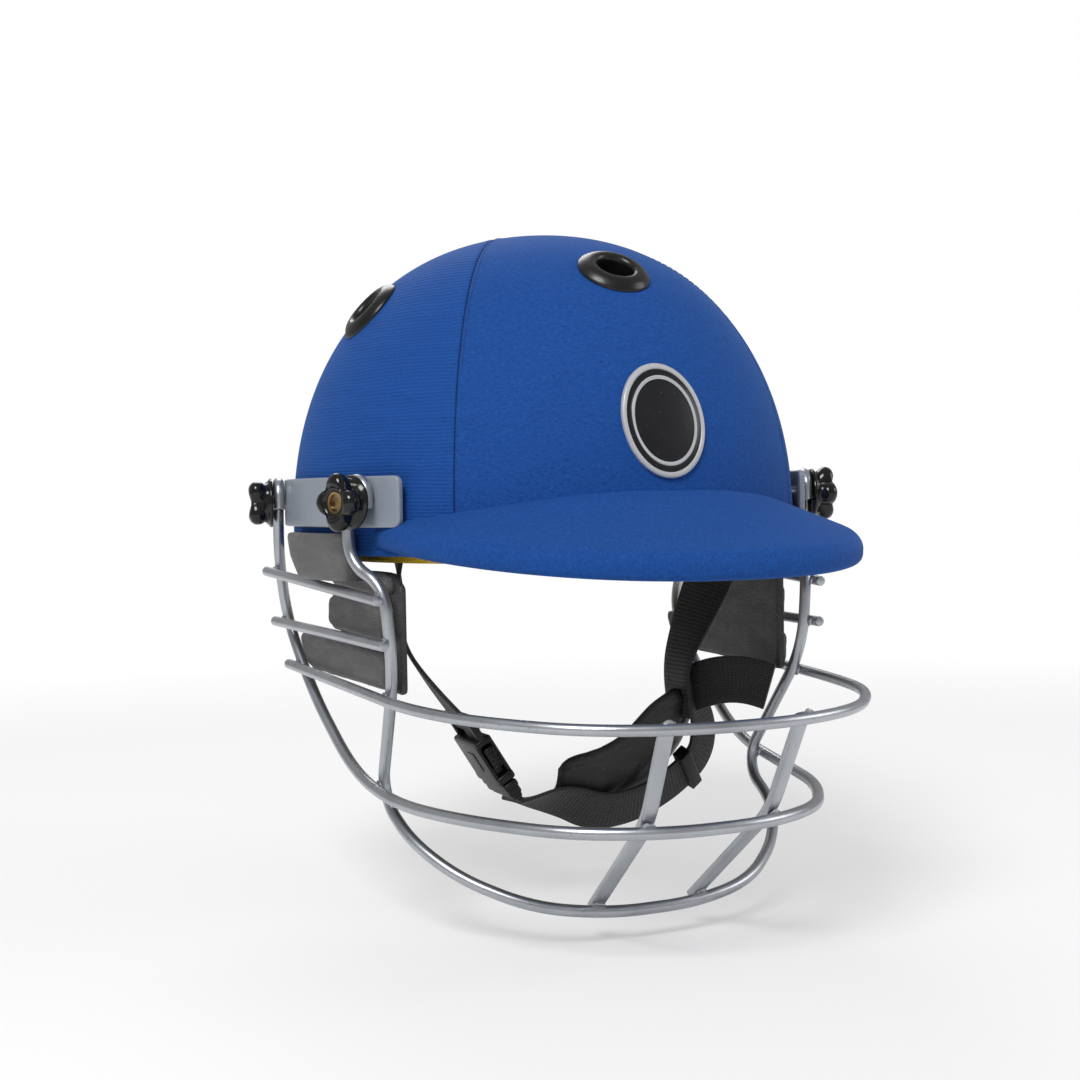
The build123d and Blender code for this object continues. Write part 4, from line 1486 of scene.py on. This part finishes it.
@dataclass
class Grille:
    """Welded wire grille with its ear pads."""

    upright: float = 4.6
    bar: float = 4.2
    half_width: float = 100.0
    reach: float = 168.0
    drop: float = 136.0
    gap: float = 0.12
    front: tuple[Triple, ...] = (
        (1.016, -0.288, -0.022),
        (0.932, -0.384, -0.088),
        (0.906, -0.388, -0.330),
        (0.835, -0.170, -0.715),
        (0.810, -0.330, -0.815),
        (0.690, -0.440, -0.900),
        (0.470, -0.548, -0.972),
        (0.180, -0.590, -1.000),
    )
    rear: tuple[Triple, ...] = (
        (1.020, 0.290, -0.030),
        (0.962, 0.345, -0.230),
        (0.935, 0.175, -0.455),
        (0.901, -0.080, -0.655),
        (0.879, -0.330, -0.702),
        (0.760, -0.575, -0.706),
        (0.520, -0.795, -0.710),
        (0.200, -0.890, -0.712),
    )
    upper: tuple[Triple, ...] = (
        (0.820, -0.735, -0.415),
        (0.560, -0.925, -0.424),
        (0.210, -1.005, -0.428),
    )
    levels: dict[str, tuple[float, float]] = field(
        default_factory=lambda: {
            "upper": (-0.393, -0.364),
            "high": (-0.114, -0.066),
            "low": (-0.240, -0.226),
        }
    )
    crossing: tuple[float, float] = (60.0, -75.0)
    rod_overhang: float = 6.0
    upper_straight: float = 26.0
    hook_lift: float = 2.5
    hook_room: float = 3.6
    hook_leg: float = 5.0
    strut_width: float = 5.4
    strut_depth: float = 3.6
    strut_gap: float = 0.1
    strut_places: tuple[float, float, float] = (27.4, 26.0, 21.5)
    strut_foot: float = 5.0
    strut_squareness: float = 0.45
    bar_weld: float = 3.4
    wire_weld: float = 3.6
    ear_blocks: tuple[tuple[str, float, int], ...] = (
        ("upper", 0.7, 16),
        ("middle", 0.6, 20),
        ("lower", 0.6, 20),
    )
    weld_rows: int = 7
    weld_columns: int = 18

    def build(self, mount: SideMount) -> None:
        """Builds the wires, struts, welds and ear pads.

        Args:
            mount: the side plates, whose bolts the wires hook over.
        """
        steel = CoatedWire().make()
        wires = {}
        for end, shares in ((End.FRONT, self.front), (End.REAR, self.rear)):
            wires[end] = self.long_path(mount, mount.bolts[end], shares)
            line = self.hooked(mount, mount.bolts[end], wires[end])
            self.wire(f"wire_{end.value}", line, self.upright / 2, steel, 20)
        front, rear = wires[End.FRONT], wires[End.REAR]
        seats = {
            key: (self.beside(front, ahead), self.beside(rear, behind))
            for key, (ahead, behind) in self.levels.items()
        }
        upper = self.upper_path(*(seat[0] for seat in seats["upper"]))
        self.wire("bar_upper", upper, self.bar / 2, steel, 20)
        spots: list[tuple[Array, Array, float]] = []
        for key, pair in seats.items():
            spots += [(centre - out * (self.bar / 2), out, self.bar_weld) for centre, out in pair]
            if key != "upper":
                self.rods(key, pair[0][0], pair[1][0], steel)
        left, _ = (self.strut(side, (upper, rear, front), steel) for side in Side)
        spots += left
        inner, outer = self.nearest(rear, front)
        spots.append(((inner + outer) / 2, unit(inner - outer), self.wire_weld))
        for side in Side:
            ride(self.welds(side, spots, steel), "grille", "wire_steel")
        self.ear_pads()

    def wire(
        self, node: str, path: Array, radius: float, steel: bpy.types.Material, sides: int
    ) -> None:
        """Builds one wire in place of its CAD node."""
        ride(tube(f"grille_{node}", path, radius, steel, sides), "grille", "wire_steel", node)

    def rods(self, key: str, start: Array, end: Array, steel: bpy.types.Material) -> None:
        """Builds a pair of straight side bars through two seats on the left."""
        over = unit(end - start) * self.rod_overhang
        line = even(np.array([start - over, end + over]), 2.0)
        for side in Side:
            self.wire(f"rod_{key}_{side.word}", line * side.flip, self.bar / 2, steel, 18)

    def spread(self, share: Triple) -> Array:
        """Turns shares into a point."""
        return np.array(share) * np.array([self.half_width, self.reach, self.drop])

    def hook(self, mount: SideMount, y: float) -> tuple[Array, Array, Array, Array]:
        """Hairpin round a bolt on the left: foot, tops of the free and held leg, centre."""
        place = mount.place(Side.LEFT, y, 0.3 + self.upright / 2)
        centre = np.array(place.col[3][:3]) + np.array([0, 0, self.hook_lift])
        reach = np.array(place.col[0][:3]) * (self.hook_room + self.upright / 2)
        free = centre - reach
        return free - np.array([0, 0, self.hook_leg]), free, centre + reach, centre

    def long_path(self, mount: SideMount, y: float, shares: Sequence[Triple]) -> Array:
        """Path from hook to hook round the front."""
        half = [self.hook(mount, y)[2]] + [self.spread(s) for s in shares]
        return bend(half + [p * MIRROR for p in reversed(half)], 0.47, 1.0)

    def hooked(self, mount: SideMount, y: float, path: Array) -> Array:
        """The same path with a hairpin at both ends."""
        foot, free, held_leg, centre = self.hook(mount, y)
        reach = held_leg - centre
        crest = np.array([0, 0, np.linalg.norm(reach)])
        turns = np.linspace(math.pi, 0, 19)[:-1]
        pin = [centre + reach * math.cos(t) + crest * math.sin(t) for t in turns]
        leg = [foot + (free - foot) * t for t in np.linspace(0, 1, 7)[:-1]]
        start = np.array(leg + pin)
        return np.concatenate([start, path, (start * MIRROR)[::-1]])

    def beside(self, path: Array, height: float) -> tuple[Array, Array]:
        """Centre of a bar outside an upright, and the direction to it."""
        index = int(np.argmax(path[:, 2] <= height * self.drop))
        out = unit(np.cross(path[index + 1] - path[index - 1], np.array([0, 1.0, 0])))
        out *= 1 if out[0] > 0 else -1
        return path[index] + out * ((self.upright + self.bar) / 2 + self.gap), out

    def upper_path(self, front: Array, rear: Array) -> Array:
        """Path of the upper bar round the front."""
        along = unit(front - rear)
        half = [rear - along * self.rod_overhang, front + along * self.upper_straight]
        half += [self.spread(s) for s in self.upper]
        return bend(half + [p * MIRROR for p in reversed(half)], 0.47, 1.2)

    def nearest(self, first: Array, second: Array) -> tuple[Array, Array]:
        """Where two paths come closest on the left, below the bars."""
        x, z = self.crossing
        a, b = (path[(path[:, 0] > x) & (path[:, 2] < z)] for path in (first, second))
        gaps = np.linalg.norm(a[:, None] - b[None], axis=2)
        i, j = np.unravel_index(gaps.argmin(), gaps.shape)
        return a[i], b[j]

    def strut(
        self, side: Side, bars: Sequence[Array], steel: bpy.types.Material
    ) -> list[tuple[Array, Array, float]]:
        """Builds a flat strut over the three front bars.

        Args:
            side: which strut.
            bars: paths of the upper bar, the rear wire and the front wire.
            steel: the finish.

        Returns:
            Centre, direction and size of its welds on the left.
        """
        spots, steps = [], []
        for path, place in zip(bars, self.strut_places):
            index = int(np.where(path[:, 0] > place)[0].max())
            spots.append(path[index])
            steps.append(unit(path[index + 1] - path[index]))
        across = unit(sum(steps))
        drops = [spots[1] - spots[0], spots[2] - spots[1]]
        high, low = (unit(np.cross(drop, across)) for drop in drops)
        faces = (high, unit(high + low), low)
        rods = (self.bar / 2, self.upright / 2, self.upright / 2)
        rise = self.strut_depth / 2 + self.strut_gap
        line = [spot + out * (rod + rise) for spot, out, rod in zip(spots, faces, rods)]
        line[0] = line[0] + unit(drops[0]) * (self.bar * 0.2)
        line[2] = line[2] + unit(drops[1]) * self.strut_foot
        path = bend(np.array(line), 0.22, 1.2) * side.flip
        along, across = tangents(path), across * side.flip
        wide = unit(across[None] - np.sum(along * across, axis=1)[:, None] * along)
        half_w, half_d = self.strut_width / 2, self.strut_depth / 2
        circle = [(math.cos(t), math.sin(t)) for t in turns_round(28)]
        cut = [(self.squared(c) * half_w, self.squared(s) * half_d) for c, s in circle]
        ends = ((0.6, 0.0), (0.9, 0.3), (1.0, 0.8))
        points, mesh_faces = sweep(path, wide, np.cross(along, wide), cut, ends)
        made = solid_object(f"grille_strut_{side.word}", points, mesh_faces, steel)
        ride(made, "grille", "wire_steel", f"strut_{side.word}")
        beads = zip(spots, faces, rods)
        return [(spot + out * rod, out, self.wire_weld) for spot, out, rod in beads]

    def squared(self, value: float) -> float:
        """Carries a circle's coordinate to the strut's rounded rectangle."""
        return float(np.sign(value)) * abs(value) ** self.strut_squareness

    def welds(
        self, side: Side, spots: Sequence[tuple[Array, Array, float]], steel: bpy.types.Material
    ) -> bpy.types.Object:
        """Builds the small weld beads where wires meet.

        Args:
            side: which side.
            spots: centre, normal and size of each weld on the left.
            steel: the finish.
        """
        random = np.random.default_rng(7 + side.value)
        points: list[Array] = []
        faces: list[tuple[int, ...]] = []
        for centre, normal, size in spots:
            n = unit(normal * side.flip)
            a = unit(np.cross(n, [0.2, 0.1, 1.0]))
            b = np.cross(n, a)
            faces += capped(self.weld_rows, self.weld_columns, len(points))
            for i in range(self.weld_rows):
                lean = math.pi * (i + 0.5) / self.weld_rows
                wide = size * 0.72 * math.sin(lean) ** 0.8
                for turn in turns_round(self.weld_columns):
                    lump = 1 + 0.10 * math.sin(3 * turn + i) + 0.05 * random.standard_normal()
                    round_bead = (a * math.cos(turn) + b * math.sin(turn)) * (wide * lump)
                    points.append(centre * side.flip + n * (math.cos(lean) * 0.85) + round_bead)
        made = solid_object(f"grille_welds_{side.word}", points, faces, steel)
        smooth(made, 80)
        return made

    def ear_pads(self) -> None:
        """Builds the padded blocks and their backing."""
        # The second colour of each skin is painted shade for its low grooves and folds.
        colours = (0.15, 0.147, 0.150), (0.085, 0.083, 0.085)
        skin = GrainedSkin("ear_skin", *colours, cell=1100, roughness=0.42, relief=0.0007).make()
        colours = (0.055, 0.053, 0.054), (0.028, 0.028, 0.029)
        back = GrainedSkin("ear_backing_skin", *colours, cell=700, roughness=0.6).make()
        for side in Side:
            for part, voxel, rounds in self.ear_blocks:
                node = f"ear_{part}_{side.word}"
                made = refined(f"ear_block_{part}_{side.word}", node, skin, voxel, rounds, 0.6)
                ride(made, "grille", "ear_plastic", node)
            node = f"ear_backing_{side.word}"
            made = refined(f"ear_pad_backing_{side.word}", node, back, 1.0, 8, 0.25)
            ride(made, "grille", "ear_plastic", node)


@dataclass
class Padding:
    """Everything inside the shell: foam liner, quilted lining and comfort pads."""

    outside: float = 17.5
    wall: float = 1.1
    bottom: float = -4.4
    top: float = 46.0
    channels: int = 22
    puff: float = 2.2
    lip: float = 0.75
    lip_height: float = 1.6
    lip_width: float = 1.7
    binding: float = 0.4
    steps: int = 440

    def build(self) -> None:
        """Builds the lining and pads and dresses the hard layers."""
        colours = (0.013, 0.013, 0.014), (0.028, 0.028, 0.03)
        dress("shell", MouldedPlastic("shell_black", *colours, roughness=0.42, coat=0.1).make())
        dress("liner", Foam("liner_foam", (0.045, 0.045, 0.047), 520).make())
        yellow = Foam("lining_yellow", (0.95, 0.60, 0.015), 1300).make()
        pad = Foam("pad_black", (0.030, 0.030, 0.032), 1100).make()
        ride(self.lining(yellow), "helmet", "lining_fabric", "lining")
        for node in ("pad_brow", "pad_nape", "pad_crown"):
            made = refined(f"comfort_{node}", node, pad, 1.3, 9, 0.5)
            ride(made, "helmet", "pad_fabric", node)

    def lining(self, yellow: bpy.types.Material) -> bpy.types.Object:
        """Builds the lining: a thin quilted ring with a bound lower edge."""
        rising = np.linspace(7, self.top - self.bottom - 1, 26)
        heights = np.concatenate([[0.0, 0.35, 0.9, 1.8, 3.0, 4.5], rising])
        points = []
        for outer, order in ((False, heights), (True, heights[::-1])):
            for h in order:
                z = self.bottom + h
                for turn in turns_round(self.steps):
                    half = float(DOME.ring(max(z, 0.0), self.grow(outer, h, turn)))
                    points.append(DOME.around(half, turn, z))
        rows = 2 * len(heights)
        faces = rows_of_faces(rows, self.steps, wrap=True)
        last = (rows - 1) * self.steps
        for k in range(self.steps):
            after = (k + 1) % self.steps
            faces.append((last + k, last + after, after, k))
        return solid_object("lining_quilted", points, faces, yellow)

    def grow(self, outer: bool, height: float, turn: float) -> float:
        """Distance of the lining's face from the dome.

        Args:
            outer: whether it is the face towards the foam.
            height: height above the lower edge.
            turn: angle round the head.
        """
        if height <= self.binding:
            return -self.outside - self.wall / 2 + (0.3 if outer else -0.3)
        lip = self.lip * bell(height - self.lip_height, self.lip_width)
        wave = 0.25 * math.sin(turn * 37) * math.exp(-height / 3)
        if outer:
            return -self.outside + lip * 0.5 + wave
        quilt = abs(math.sin(turn * self.channels / 2)) ** 0.55
        fade = held((height - 4) / 6) * held((self.top - self.bottom - height) / 6)
        return -(self.outside + self.wall + lip + self.puff * 0.4 * quilt * fade) + wave


@dataclass
class ChinStrap:
    """Chin strap: two hung straps, webbing, cup, buckle, keeper and the loose tail."""

    plane_y: float = -28.0
    span: float = 80.0
    drop: float = 75.0
    width: float = 20.0
    thickness: float = 1.8
    anchor: tuple[float, float] = (74.5, 12.0)
    anchor_run: float = 14.0
    cup_width: float = 36.0
    cup_thickness: float = 5.0
    cup_hollow: float = 4.0
    cup_groove: float = 0.55
    cup_wrinkle: float = 0.22
    buckle_length: float = 27.0
    buckle_width: float = 25.0
    buckle_thickness: float = 8.0
    grip_ribs: int = 5
    grip_pitch: float = 1.8
    buckle_ends: tuple[tuple[float, float], ...] = ((-0.600, -0.950), (-0.450, -1.203))
    right: tuple[tuple[float, float], ...] = (
        (-0.925, -0.493),
        (-0.763, -0.733),
        (-0.628, -0.906),
        (-0.587, -0.971),
    )
    left: tuple[tuple[float, float], ...] = (
        (0.812, -0.280),
        (0.715, -0.493),
        (0.625, -0.720),
        (0.650, -1.000),
    )
    webbing: tuple[tuple[float, float], ...] = (
        (-0.344, -1.384),
        (-0.050, -1.413),
        (0.150, -1.510),
        (0.400, -1.480),
        (0.625, -1.360),
        (0.775, -1.227),
        (0.800, -1.067),
        (0.725, -0.827),
        (0.695, -0.720),
    )
    cup: tuple[tuple[float, float], ...] = (
        (-0.100, -1.349),
        (0.125, -1.387),
        (0.375, -1.293),
        (0.600, -1.067),
        (0.712, -0.907),
    )
    tail: tuple[tuple[float, float], ...] = ((0.700, -0.040), (0.775, -0.212), (0.950, -0.425))
    tail_level: float = -0.8
    tail_arch: float = 5.0
    keeper_share: tuple[float, float] = (0.700, -1.307)
    keeper_half_length: float = 3.0
    keeper_wall: float = 1.5
    keeper_room: float = 0.4
    right_turns: tuple[tuple[float, float], ...] = (
        (0.0, 0.0),
        (0.15, 0.0),
        (0.35, 26.0),
        (0.7, 12.0),
        (1.0, 0.0),
    )
    left_turns: tuple[tuple[float, float], ...] = (
        (0.0, 0.0),
        (0.16, 0.0),
        (0.34, -58.0),
        (0.55, -28.0),
        (0.8, 0.0),
        (1.0, 0.0),
    )
    band_rolls: tuple[tuple[float, float], ...] = (
        (0.0, 0.0),
        (0.14, 40.0),
        (0.3, 56.0),
        (0.8, 60.0),
        (1.0, 30.0),
    )
    cup_rolls: tuple[tuple[float, float], ...] = (
        (0.0, 54.0),
        (0.4, 60.0),
        (0.8, 58.0),
        (1.0, 45.0),
    )

    def build(self) -> None:
        """Builds every piece of the strap."""
        web = Webbing().make()
        # The second colour is painted shade for the cup skin's low grooves and folds.
        colours = (0.012, 0.012, 0.013), (0.006, 0.006, 0.0065)
        skin = GrainedSkin("cup_skin", *colours, cell=1600, roughness=0.40, relief=0.00025).make()
        colours = (0.0045, 0.0045, 0.005), (0.011, 0.011, 0.012)
        black = MouldedPlastic("buckle_black", *colours, 0.34, 0.05, grain=0.5, gloss=0.3).make()
        hangers = {
            Side.RIGHT: (self.right, self.right_turns),
            Side.LEFT: (self.left, self.left_turns),
        }
        for side, (shares, turns) in hangers.items():
            made = self.hung(side, shares, web, turns)
            ride(made, "chin_strap", "webbing", f"strap_{side.word}")
        ride(self.under_chin(web), "chin_strap", "webbing", "chin_webbing")
        ride(self.loose_tail(web), "chin_strap", "webbing", "strap_tail")
        ride(self.chin_cup(skin), "chin_strap", "cup_fabric", "chin_cup")
        ride(self.socket(black), "chin_strap", "buckle_plastic", "buckle_socket")
        ride(self.tongue(black), "chin_strap", "buckle_plastic", "buckle_tongue")
        for end, sign in ((End.FRONT, 1), (End.REAR, -1)):
            body = f"button_{end.value}"
            ride(self.button(f"buckle_{body}", sign, black), body, "buckle_plastic", body)
        ride(self.keeper(black), "keeper", "buckle_plastic", "keeper")

    def hang(self, shares: Pairs) -> list[Array]:
        """Points in the strap's plane."""
        return [np.array([u * self.span, self.plane_y, v * self.drop]) for u, v in shares]

    def hung(
        self, side: Side, shares: Pairs, material: bpy.types.Material, turns: Pairs
    ) -> bpy.types.Object:
        """Builds a strap from its rivet down.

        Args:
            side: which strap.
            shares: its corners below the rivet.
            material: its finish.
            turns: share of its length and how far it has turned there, in degrees.
        """
        x, z = side.value * self.anchor[0], self.anchor[1]
        reach = self.width / 2
        tip = np.array([x, self.plane_y, z + reach - 0.1])
        low = np.array([x, self.plane_y, z - self.anchor_run])
        path = bend(np.array([tip, low] + self.hang(shares)), 0.47, 0.8)
        run = run_along(path)
        rounded = 2 * np.sqrt(np.clip(reach**2 - (reach - run - 0.1) ** 2, 0.01, None))
        widths = np.where(run < reach, rounded, self.width)
        turn = eased_turns(run / run[-1], turns)[:, None]
        out = np.cross(tangents(path), [0.0, 1.0, 0.0])
        sides = np.cos(turn) * np.array([0, 1.0, 0]) + np.sin(turn) * out
        return ribbon(f"webbing_strap_{side.word}", path, sides, widths, self.thickness, material)

    def band(self) -> tuple[Array, Array]:
        """Middle line of the webbing under the chin and the direction across it."""
        path = bend(np.array(self.hang(self.webbing)), 0.47, 0.8)
        return path, self.rolled(path, self.band_rolls)[0]

    def under_chin(self, material: bpy.types.Material) -> bpy.types.Object:
        """Builds the webbing from the buckle under the cup."""
        path, across = self.band()
        return ribbon("webbing_under_chin", path, across, self.width, self.thickness, material)

    def rolled(self, path: Array, rolls: Pairs) -> tuple[Array, Array]:
        """Directions across a band and towards the chin when its front edge is turned up.

        Args:
            path: the band's middle line.
            rolls: share of its length and the turn there, in degrees.

        Returns:
            The direction across, rear edge first, and the direction towards the chin.
        """
        inward = np.cross(tangents(path), [0.0, 1.0, 0.0])
        inward *= np.sign(inward[len(path) // 2][2])
        turn = eased_turns(np.linspace(0, 1, len(path)), rolls)[:, None]
        cosine, sine, rear = np.cos(turn), np.sin(turn), np.array([0.0, 1.0, 0.0])
        return cosine * rear - sine * inward, cosine * inward + sine * rear

    def loose_tail(self, material: bpy.types.Material) -> bpy.types.Object:
        """Builds the loose end, standing on edge."""
        middle = self.tail_level * self.drop
        corners = [[u * self.span, self.plane_y + v * self.span, middle] for u, v in self.tail]
        path = bend(np.array(corners), 0.47, 0.7)
        share = np.linspace(0, 1, len(path))
        path[:, 2] += self.tail_arch * np.sin(share * math.pi * 0.85) - 3.0
        lean = 0.34 * (share - 0.3)
        sides = np.stack([-np.sin(lean) * 0.6, np.sin(lean) * 0.5, np.cos(lean)], 1)
        return ribbon("webbing_tail", path, sides, self.width, self.thickness, material)

    def chin_cup(self, skin: bpy.types.Material) -> bpy.types.Object:
        """Builds the padded cup with rolled edges and a stitched groove."""
        path = bend(np.array(self.hang(self.cup)), 0.47, 0.7)
        across, up = self.rolled(path, self.cup_rolls)
        middle = np.linspace(-0.86, 0.86, 30)
        spots = np.concatenate([np.linspace(-1, -0.9, 5), middle, np.linspace(0.9, 1, 5)])
        cut = [(v, 1.0) for v in spots] + [(v, -1.0) for v in spots[::-1][1:-1]]
        points = []
        for i, s in enumerate(np.linspace(0, 1, len(path))):
            ends = min(s, 1 - s)
            taper = 1 - min(ends / 0.24, 1)
            wide = self.cup_width * (0.42 + 0.62 * (1 - taper**2.2) ** 0.5)
            full = min(ends / 0.035, 1) ** 0.5
            for v, h in cut:
                height = self.cup_hollow * (v * v) + self.cup_lift(s, v, h) * full
                points.append(path[i] + across[i] * (v * wide / 2) + up[i] * height)
        made = solid_object("chin_cup_padded", points, capped(len(path), len(cut)), skin)
        smooth(made, 70)
        return made

    def cup_lift(self, s: float, v: float, h: float) -> float:
        """How far the cup's face stands from its middle.

        Args:
            s: share of its length.
            v: place across it, -1 to 1.
            h: 1 for the face towards the chin, -1 for the other.
        """
        crown = (1 - abs(v) ** 5) ** 0.5 if abs(v) < 1 else 0.0
        groove = self.cup_groove * bell(abs(v) - 0.84, 0.035)
        wrinkle = self.cup_wrinkle * math.sin(31 * s + 5 * v + 2 * math.sin(9 * v)) * (1 - v * v)
        return h * (self.cup_thickness / 2 * crown - groove) + wrinkle

    def buckle_place(self) -> Matrix:
        """Frame of the buckle: X along the strap, Y towards the front, Z out."""
        start, end = self.hang(self.buckle_ends)
        along = Vector(end - start).normalized()
        out = Vector((along.z, 0, -along.x))
        turn = Matrix((along, out.cross(along), out)).transposed().to_4x4()
        return Matrix.Translation(Vector(start)) @ turn

    def socket(self, black: bpy.types.Material) -> bpy.types.Object:
        """Builds the socket: two shells, a ladder for the strap and a framed mouth."""
        half, deep = self.buckle_width / 2, self.buckle_thickness / 2
        long = self.buckle_length
        parts = [
            ((6.5, -half + 1.2, deep - 1.7), (long, half - 1.2, deep), 0.8),
            ((6.5, -half + 1.2, -deep), (long, half - 1.2, -deep + 1.7), 0.8),
            ((5.6, -half, -deep + 0.2), (8.8, half, deep - 0.2), 1.2),
            ((long - 3.8, -half, -deep), (long, -half + 3.6, deep), 1.3),
            ((long - 3.8, half - 3.6, -deep), (long, half, deep), 1.3),
            ((-5.0, -half + 0.4, -1.6), (7.0, -half + 2.8, 1.6), 0.8),
            ((-5.0, half - 2.8, -1.6), (7.0, half - 0.4, 1.6), 0.8),
            ((-5.8, -half + 0.4, -1.7), (-3.0, half - 0.4, 1.7), 0.9),
            ((0.2, -half + 1.4, -2.6), (2.0, half - 1.4, -0.9), 0.6),
            ((11.5, -3.2, deep - 0.2), (20.5, 3.2, deep + 0.35), 0.35),
        ]
        return boxes("buckle_socket_shell", self.buckle_place(), parts, black)

    def tongue(self, black: bpy.types.Material) -> bpy.types.Object:
        """Builds the tongue with its strap bar."""
        half, start = self.buckle_width / 2, self.buckle_length + 0.3
        parts = [
            ((start, -half, -3.2), (start + 3.4, half, 3.2), 1.1),
            ((start + 2.4, -half + 0.2, -2.8), (start + 6.6, half - 0.2, 2.8), 1.0),
            ((start + 5.6, -half + 1.0, -2.3), (start + 8.4, half - 1.0, 1.9), 0.9),
            ((start + 7.6, -half + 1.6, -1.9), (start + 10.0, half - 1.6, 0.6), 0.8),
            ((7.2, -3.0, -2.0), (start + 0.8, 3.0, 2.0), 0.6),
        ]
        return boxes("buckle_tongue_bar", self.buckle_place(), parts, black)

    def button(self, name: str, sign: int, black: bpy.types.Material) -> bpy.types.Object:
        """Builds a squeeze button with grip ribs.

        Args:
            name: the object's name.
            sign: 1 for the side towards the front.
            black: the finish.
        """
        high = self.buckle_width / 2 + 0.8
        parts = [((10.0, high - 6.6, -2.1), (19.2, high - 0.5, 2.1), 0.9)]
        parts += [((19.0, high - 6.6, -2.0), (26.8, high - 4.4, 2.0), 0.5)]
        for k in range(self.grip_ribs):
            start = 10.9 + self.grip_pitch * k
            parts.append(((start, high - 1.2, -1.9), (start + 1.0, high, 1.9), 0.4))
        if sign < 0:
            parts = [((a[0], -b[1], a[2]), (b[0], -a[1], b[2]), r) for a, b, r in parts]
        return boxes(name, self.buckle_place(), parts, black)

    def keeper(self, black: bpy.types.Material) -> bpy.types.Object:
        """Builds the ring round the webbing."""
        path, across = self.band()
        place = self.hang([self.keeper_share])[0]
        spot = int(np.argmin(np.linalg.norm(path - place, axis=1)))
        along = Vector(path[spot + 1] - path[spot - 1]).normalized()
        wide = (Vector(across[spot]) - along * Vector(across[spot]).dot(along)).normalized()
        turn = Matrix((along, wide, along.cross(wide))).transposed().to_4x4()
        length, wall = self.keeper_half_length, self.keeper_wall
        half_w = self.width / 2 + self.keeper_room
        half_t = self.thickness / 2 + self.keeper_room
        parts = [
            ((-length, -half_w - wall, half_t), (length, half_w + wall, half_t + wall), 0.7),
            ((-length, -half_w - wall, -half_t - wall), (length, half_w + wall, -half_t), 0.7),
            ((-length, -half_w - wall, -half_t - wall), (length, -half_w, half_t + wall), 0.7),
            ((-length, half_w, -half_t - wall), (length, half_w + wall, half_t + wall), 0.7),
        ]
        return boxes("webbing_keeper", Matrix.Translation(Vector(path[spot])) @ turn, parts, black)


@dataclass
class Studio:
    """Camera, lamps, floor and surroundings."""

    position: tuple[float, float, float] = (-0.2955, -0.6541, 0.0226)
    azimuth: float = -24.325
    elevation: float = 1.673
    roll: float = -1.036
    lens: float = 55.48
    floor: float = -0.1475
    floor_reach: float = 6.0
    fade_start: float = 0.28
    fade_run: float = 0.7
    least_glow: float = 0.4
    surround: float = 0.36
    aim_height: float = 0.02
    lamps: dict[str, tuple[Triple, float, float]] = field(
        default_factory=lambda: {
            "lamp_key": ((-0.95, -0.95, 1.35), 0.8, 25.0),
            "lamp_side": ((1.5, -0.7, 0.7), 0.9, 6.0),
            "lamp_back": ((0.3, 1.3, 1.2), 1.0, 9.0),
        }
    )

    def build(self) -> None:
        """Sets up everything round the helmet."""
        bpy.context.scene.view_settings.view_transform = "Standard"
        self.camera()
        self.ground()
        self.world()
        for name, (position, size, power) in self.lamps.items():
            self.lamp(name, position, size, power)

    def camera(self) -> None:
        """Stands the camera where the photograph was taken from."""
        a, e, r = (math.radians(v) for v in (self.azimuth, self.elevation, self.roll))
        back = Vector((math.sin(a) * math.cos(e), -math.cos(a) * math.cos(e), math.sin(e)))
        right = Vector((math.cos(a), math.sin(a), 0))
        up = right.cross(-back)
        tilted = right * math.cos(r) + up * math.sin(r)
        raised = up * math.cos(r) - right * math.sin(r)
        turn = Matrix((tilted, raised, back)).transposed().to_4x4()
        data = bpy.data.cameras.new("camera")
        data.lens, data.sensor_width = self.lens, 36.0
        data.clip_start = 0.01
        made = placed("camera", data)
        made.matrix_world = Matrix.Translation(self.position) @ turn
        bpy.context.scene.camera = made

    def ground(self) -> None:
        """Lays the floor, which fades into the backdrop far out."""
        bench = Bench("floor_white")
        x, y = bench.axis(0), bench.axis(1)
        out = (x * x + y * y).math("SQRT")
        far = ((out - self.fade_start) / self.fade_run).math("MAXIMUM", self.least_glow).clamp()
        seen = bench.node("ShaderNodeLightPath", output="Is Camera Ray")
        plain = bench.node("ShaderNodeBsdfDiffuse", {}, {"Color": (0.9, 0.9, 0.9)})
        glow = bench.node("ShaderNodeEmission", {}, {"Color": WHITE, "Strength": 1.0})
        bench.close(bench.node("ShaderNodeMixShader", {}, {0: far * seen, 1: plain, 2: glow}))
        mesh = bpy.data.meshes.new("floor")
        corners = [(x * self.floor_reach, y * self.floor_reach, 0) for x, y in CORNERS]
        mesh.from_pydata(corners, [], [(0, 1, 2, 3)])
        mesh.materials.append(bench.material)
        made = placed("floor", mesh)
        made.location.z = self.floor

    def world(self) -> None:
        """Soft surroundings, plain white where the camera looks past the helmet."""
        world = bpy.data.worlds.new("surroundings")
        bench = Bench(world)
        seen = bench.node("ShaderNodeLightPath", output="Is Camera Ray")
        level = seen * (1.0 - self.surround) + self.surround
        light = bench.node("ShaderNodeBackground", {}, {"Color": WHITE, "Strength": level})
        bench.close(light, "ShaderNodeOutputWorld")
        bpy.context.scene.world = world

    def lamp(self, name: str, position: Triple, size: float, power: float) -> None:
        """Adds a soft lamp that looks at the helmet."""
        data = bpy.data.lights.new(name, "AREA")
        data.shape, data.size, data.energy = "DISK", size, power
        made = placed(name, data)
        made.location = position
        aim = Vector((0, 0, self.aim_height)) - Vector(position)
        made.rotation_euler = aim.to_track_quat("-Z", "Y").to_euler()


def main() -> None:
    """Builds the helmet piece by piece, then the studio."""
    logging.basicConfig(level=logging.INFO)
    mount = SideMount()
    for piece in (Padding(), Cover(), Vent(), Badge(), mount, ChinStrap()):
        piece.build()
        log.info("built %s", type(piece).__name__)
    Grille().build(mount)
    Studio().build()


if __name__ == "__main__":
    main()
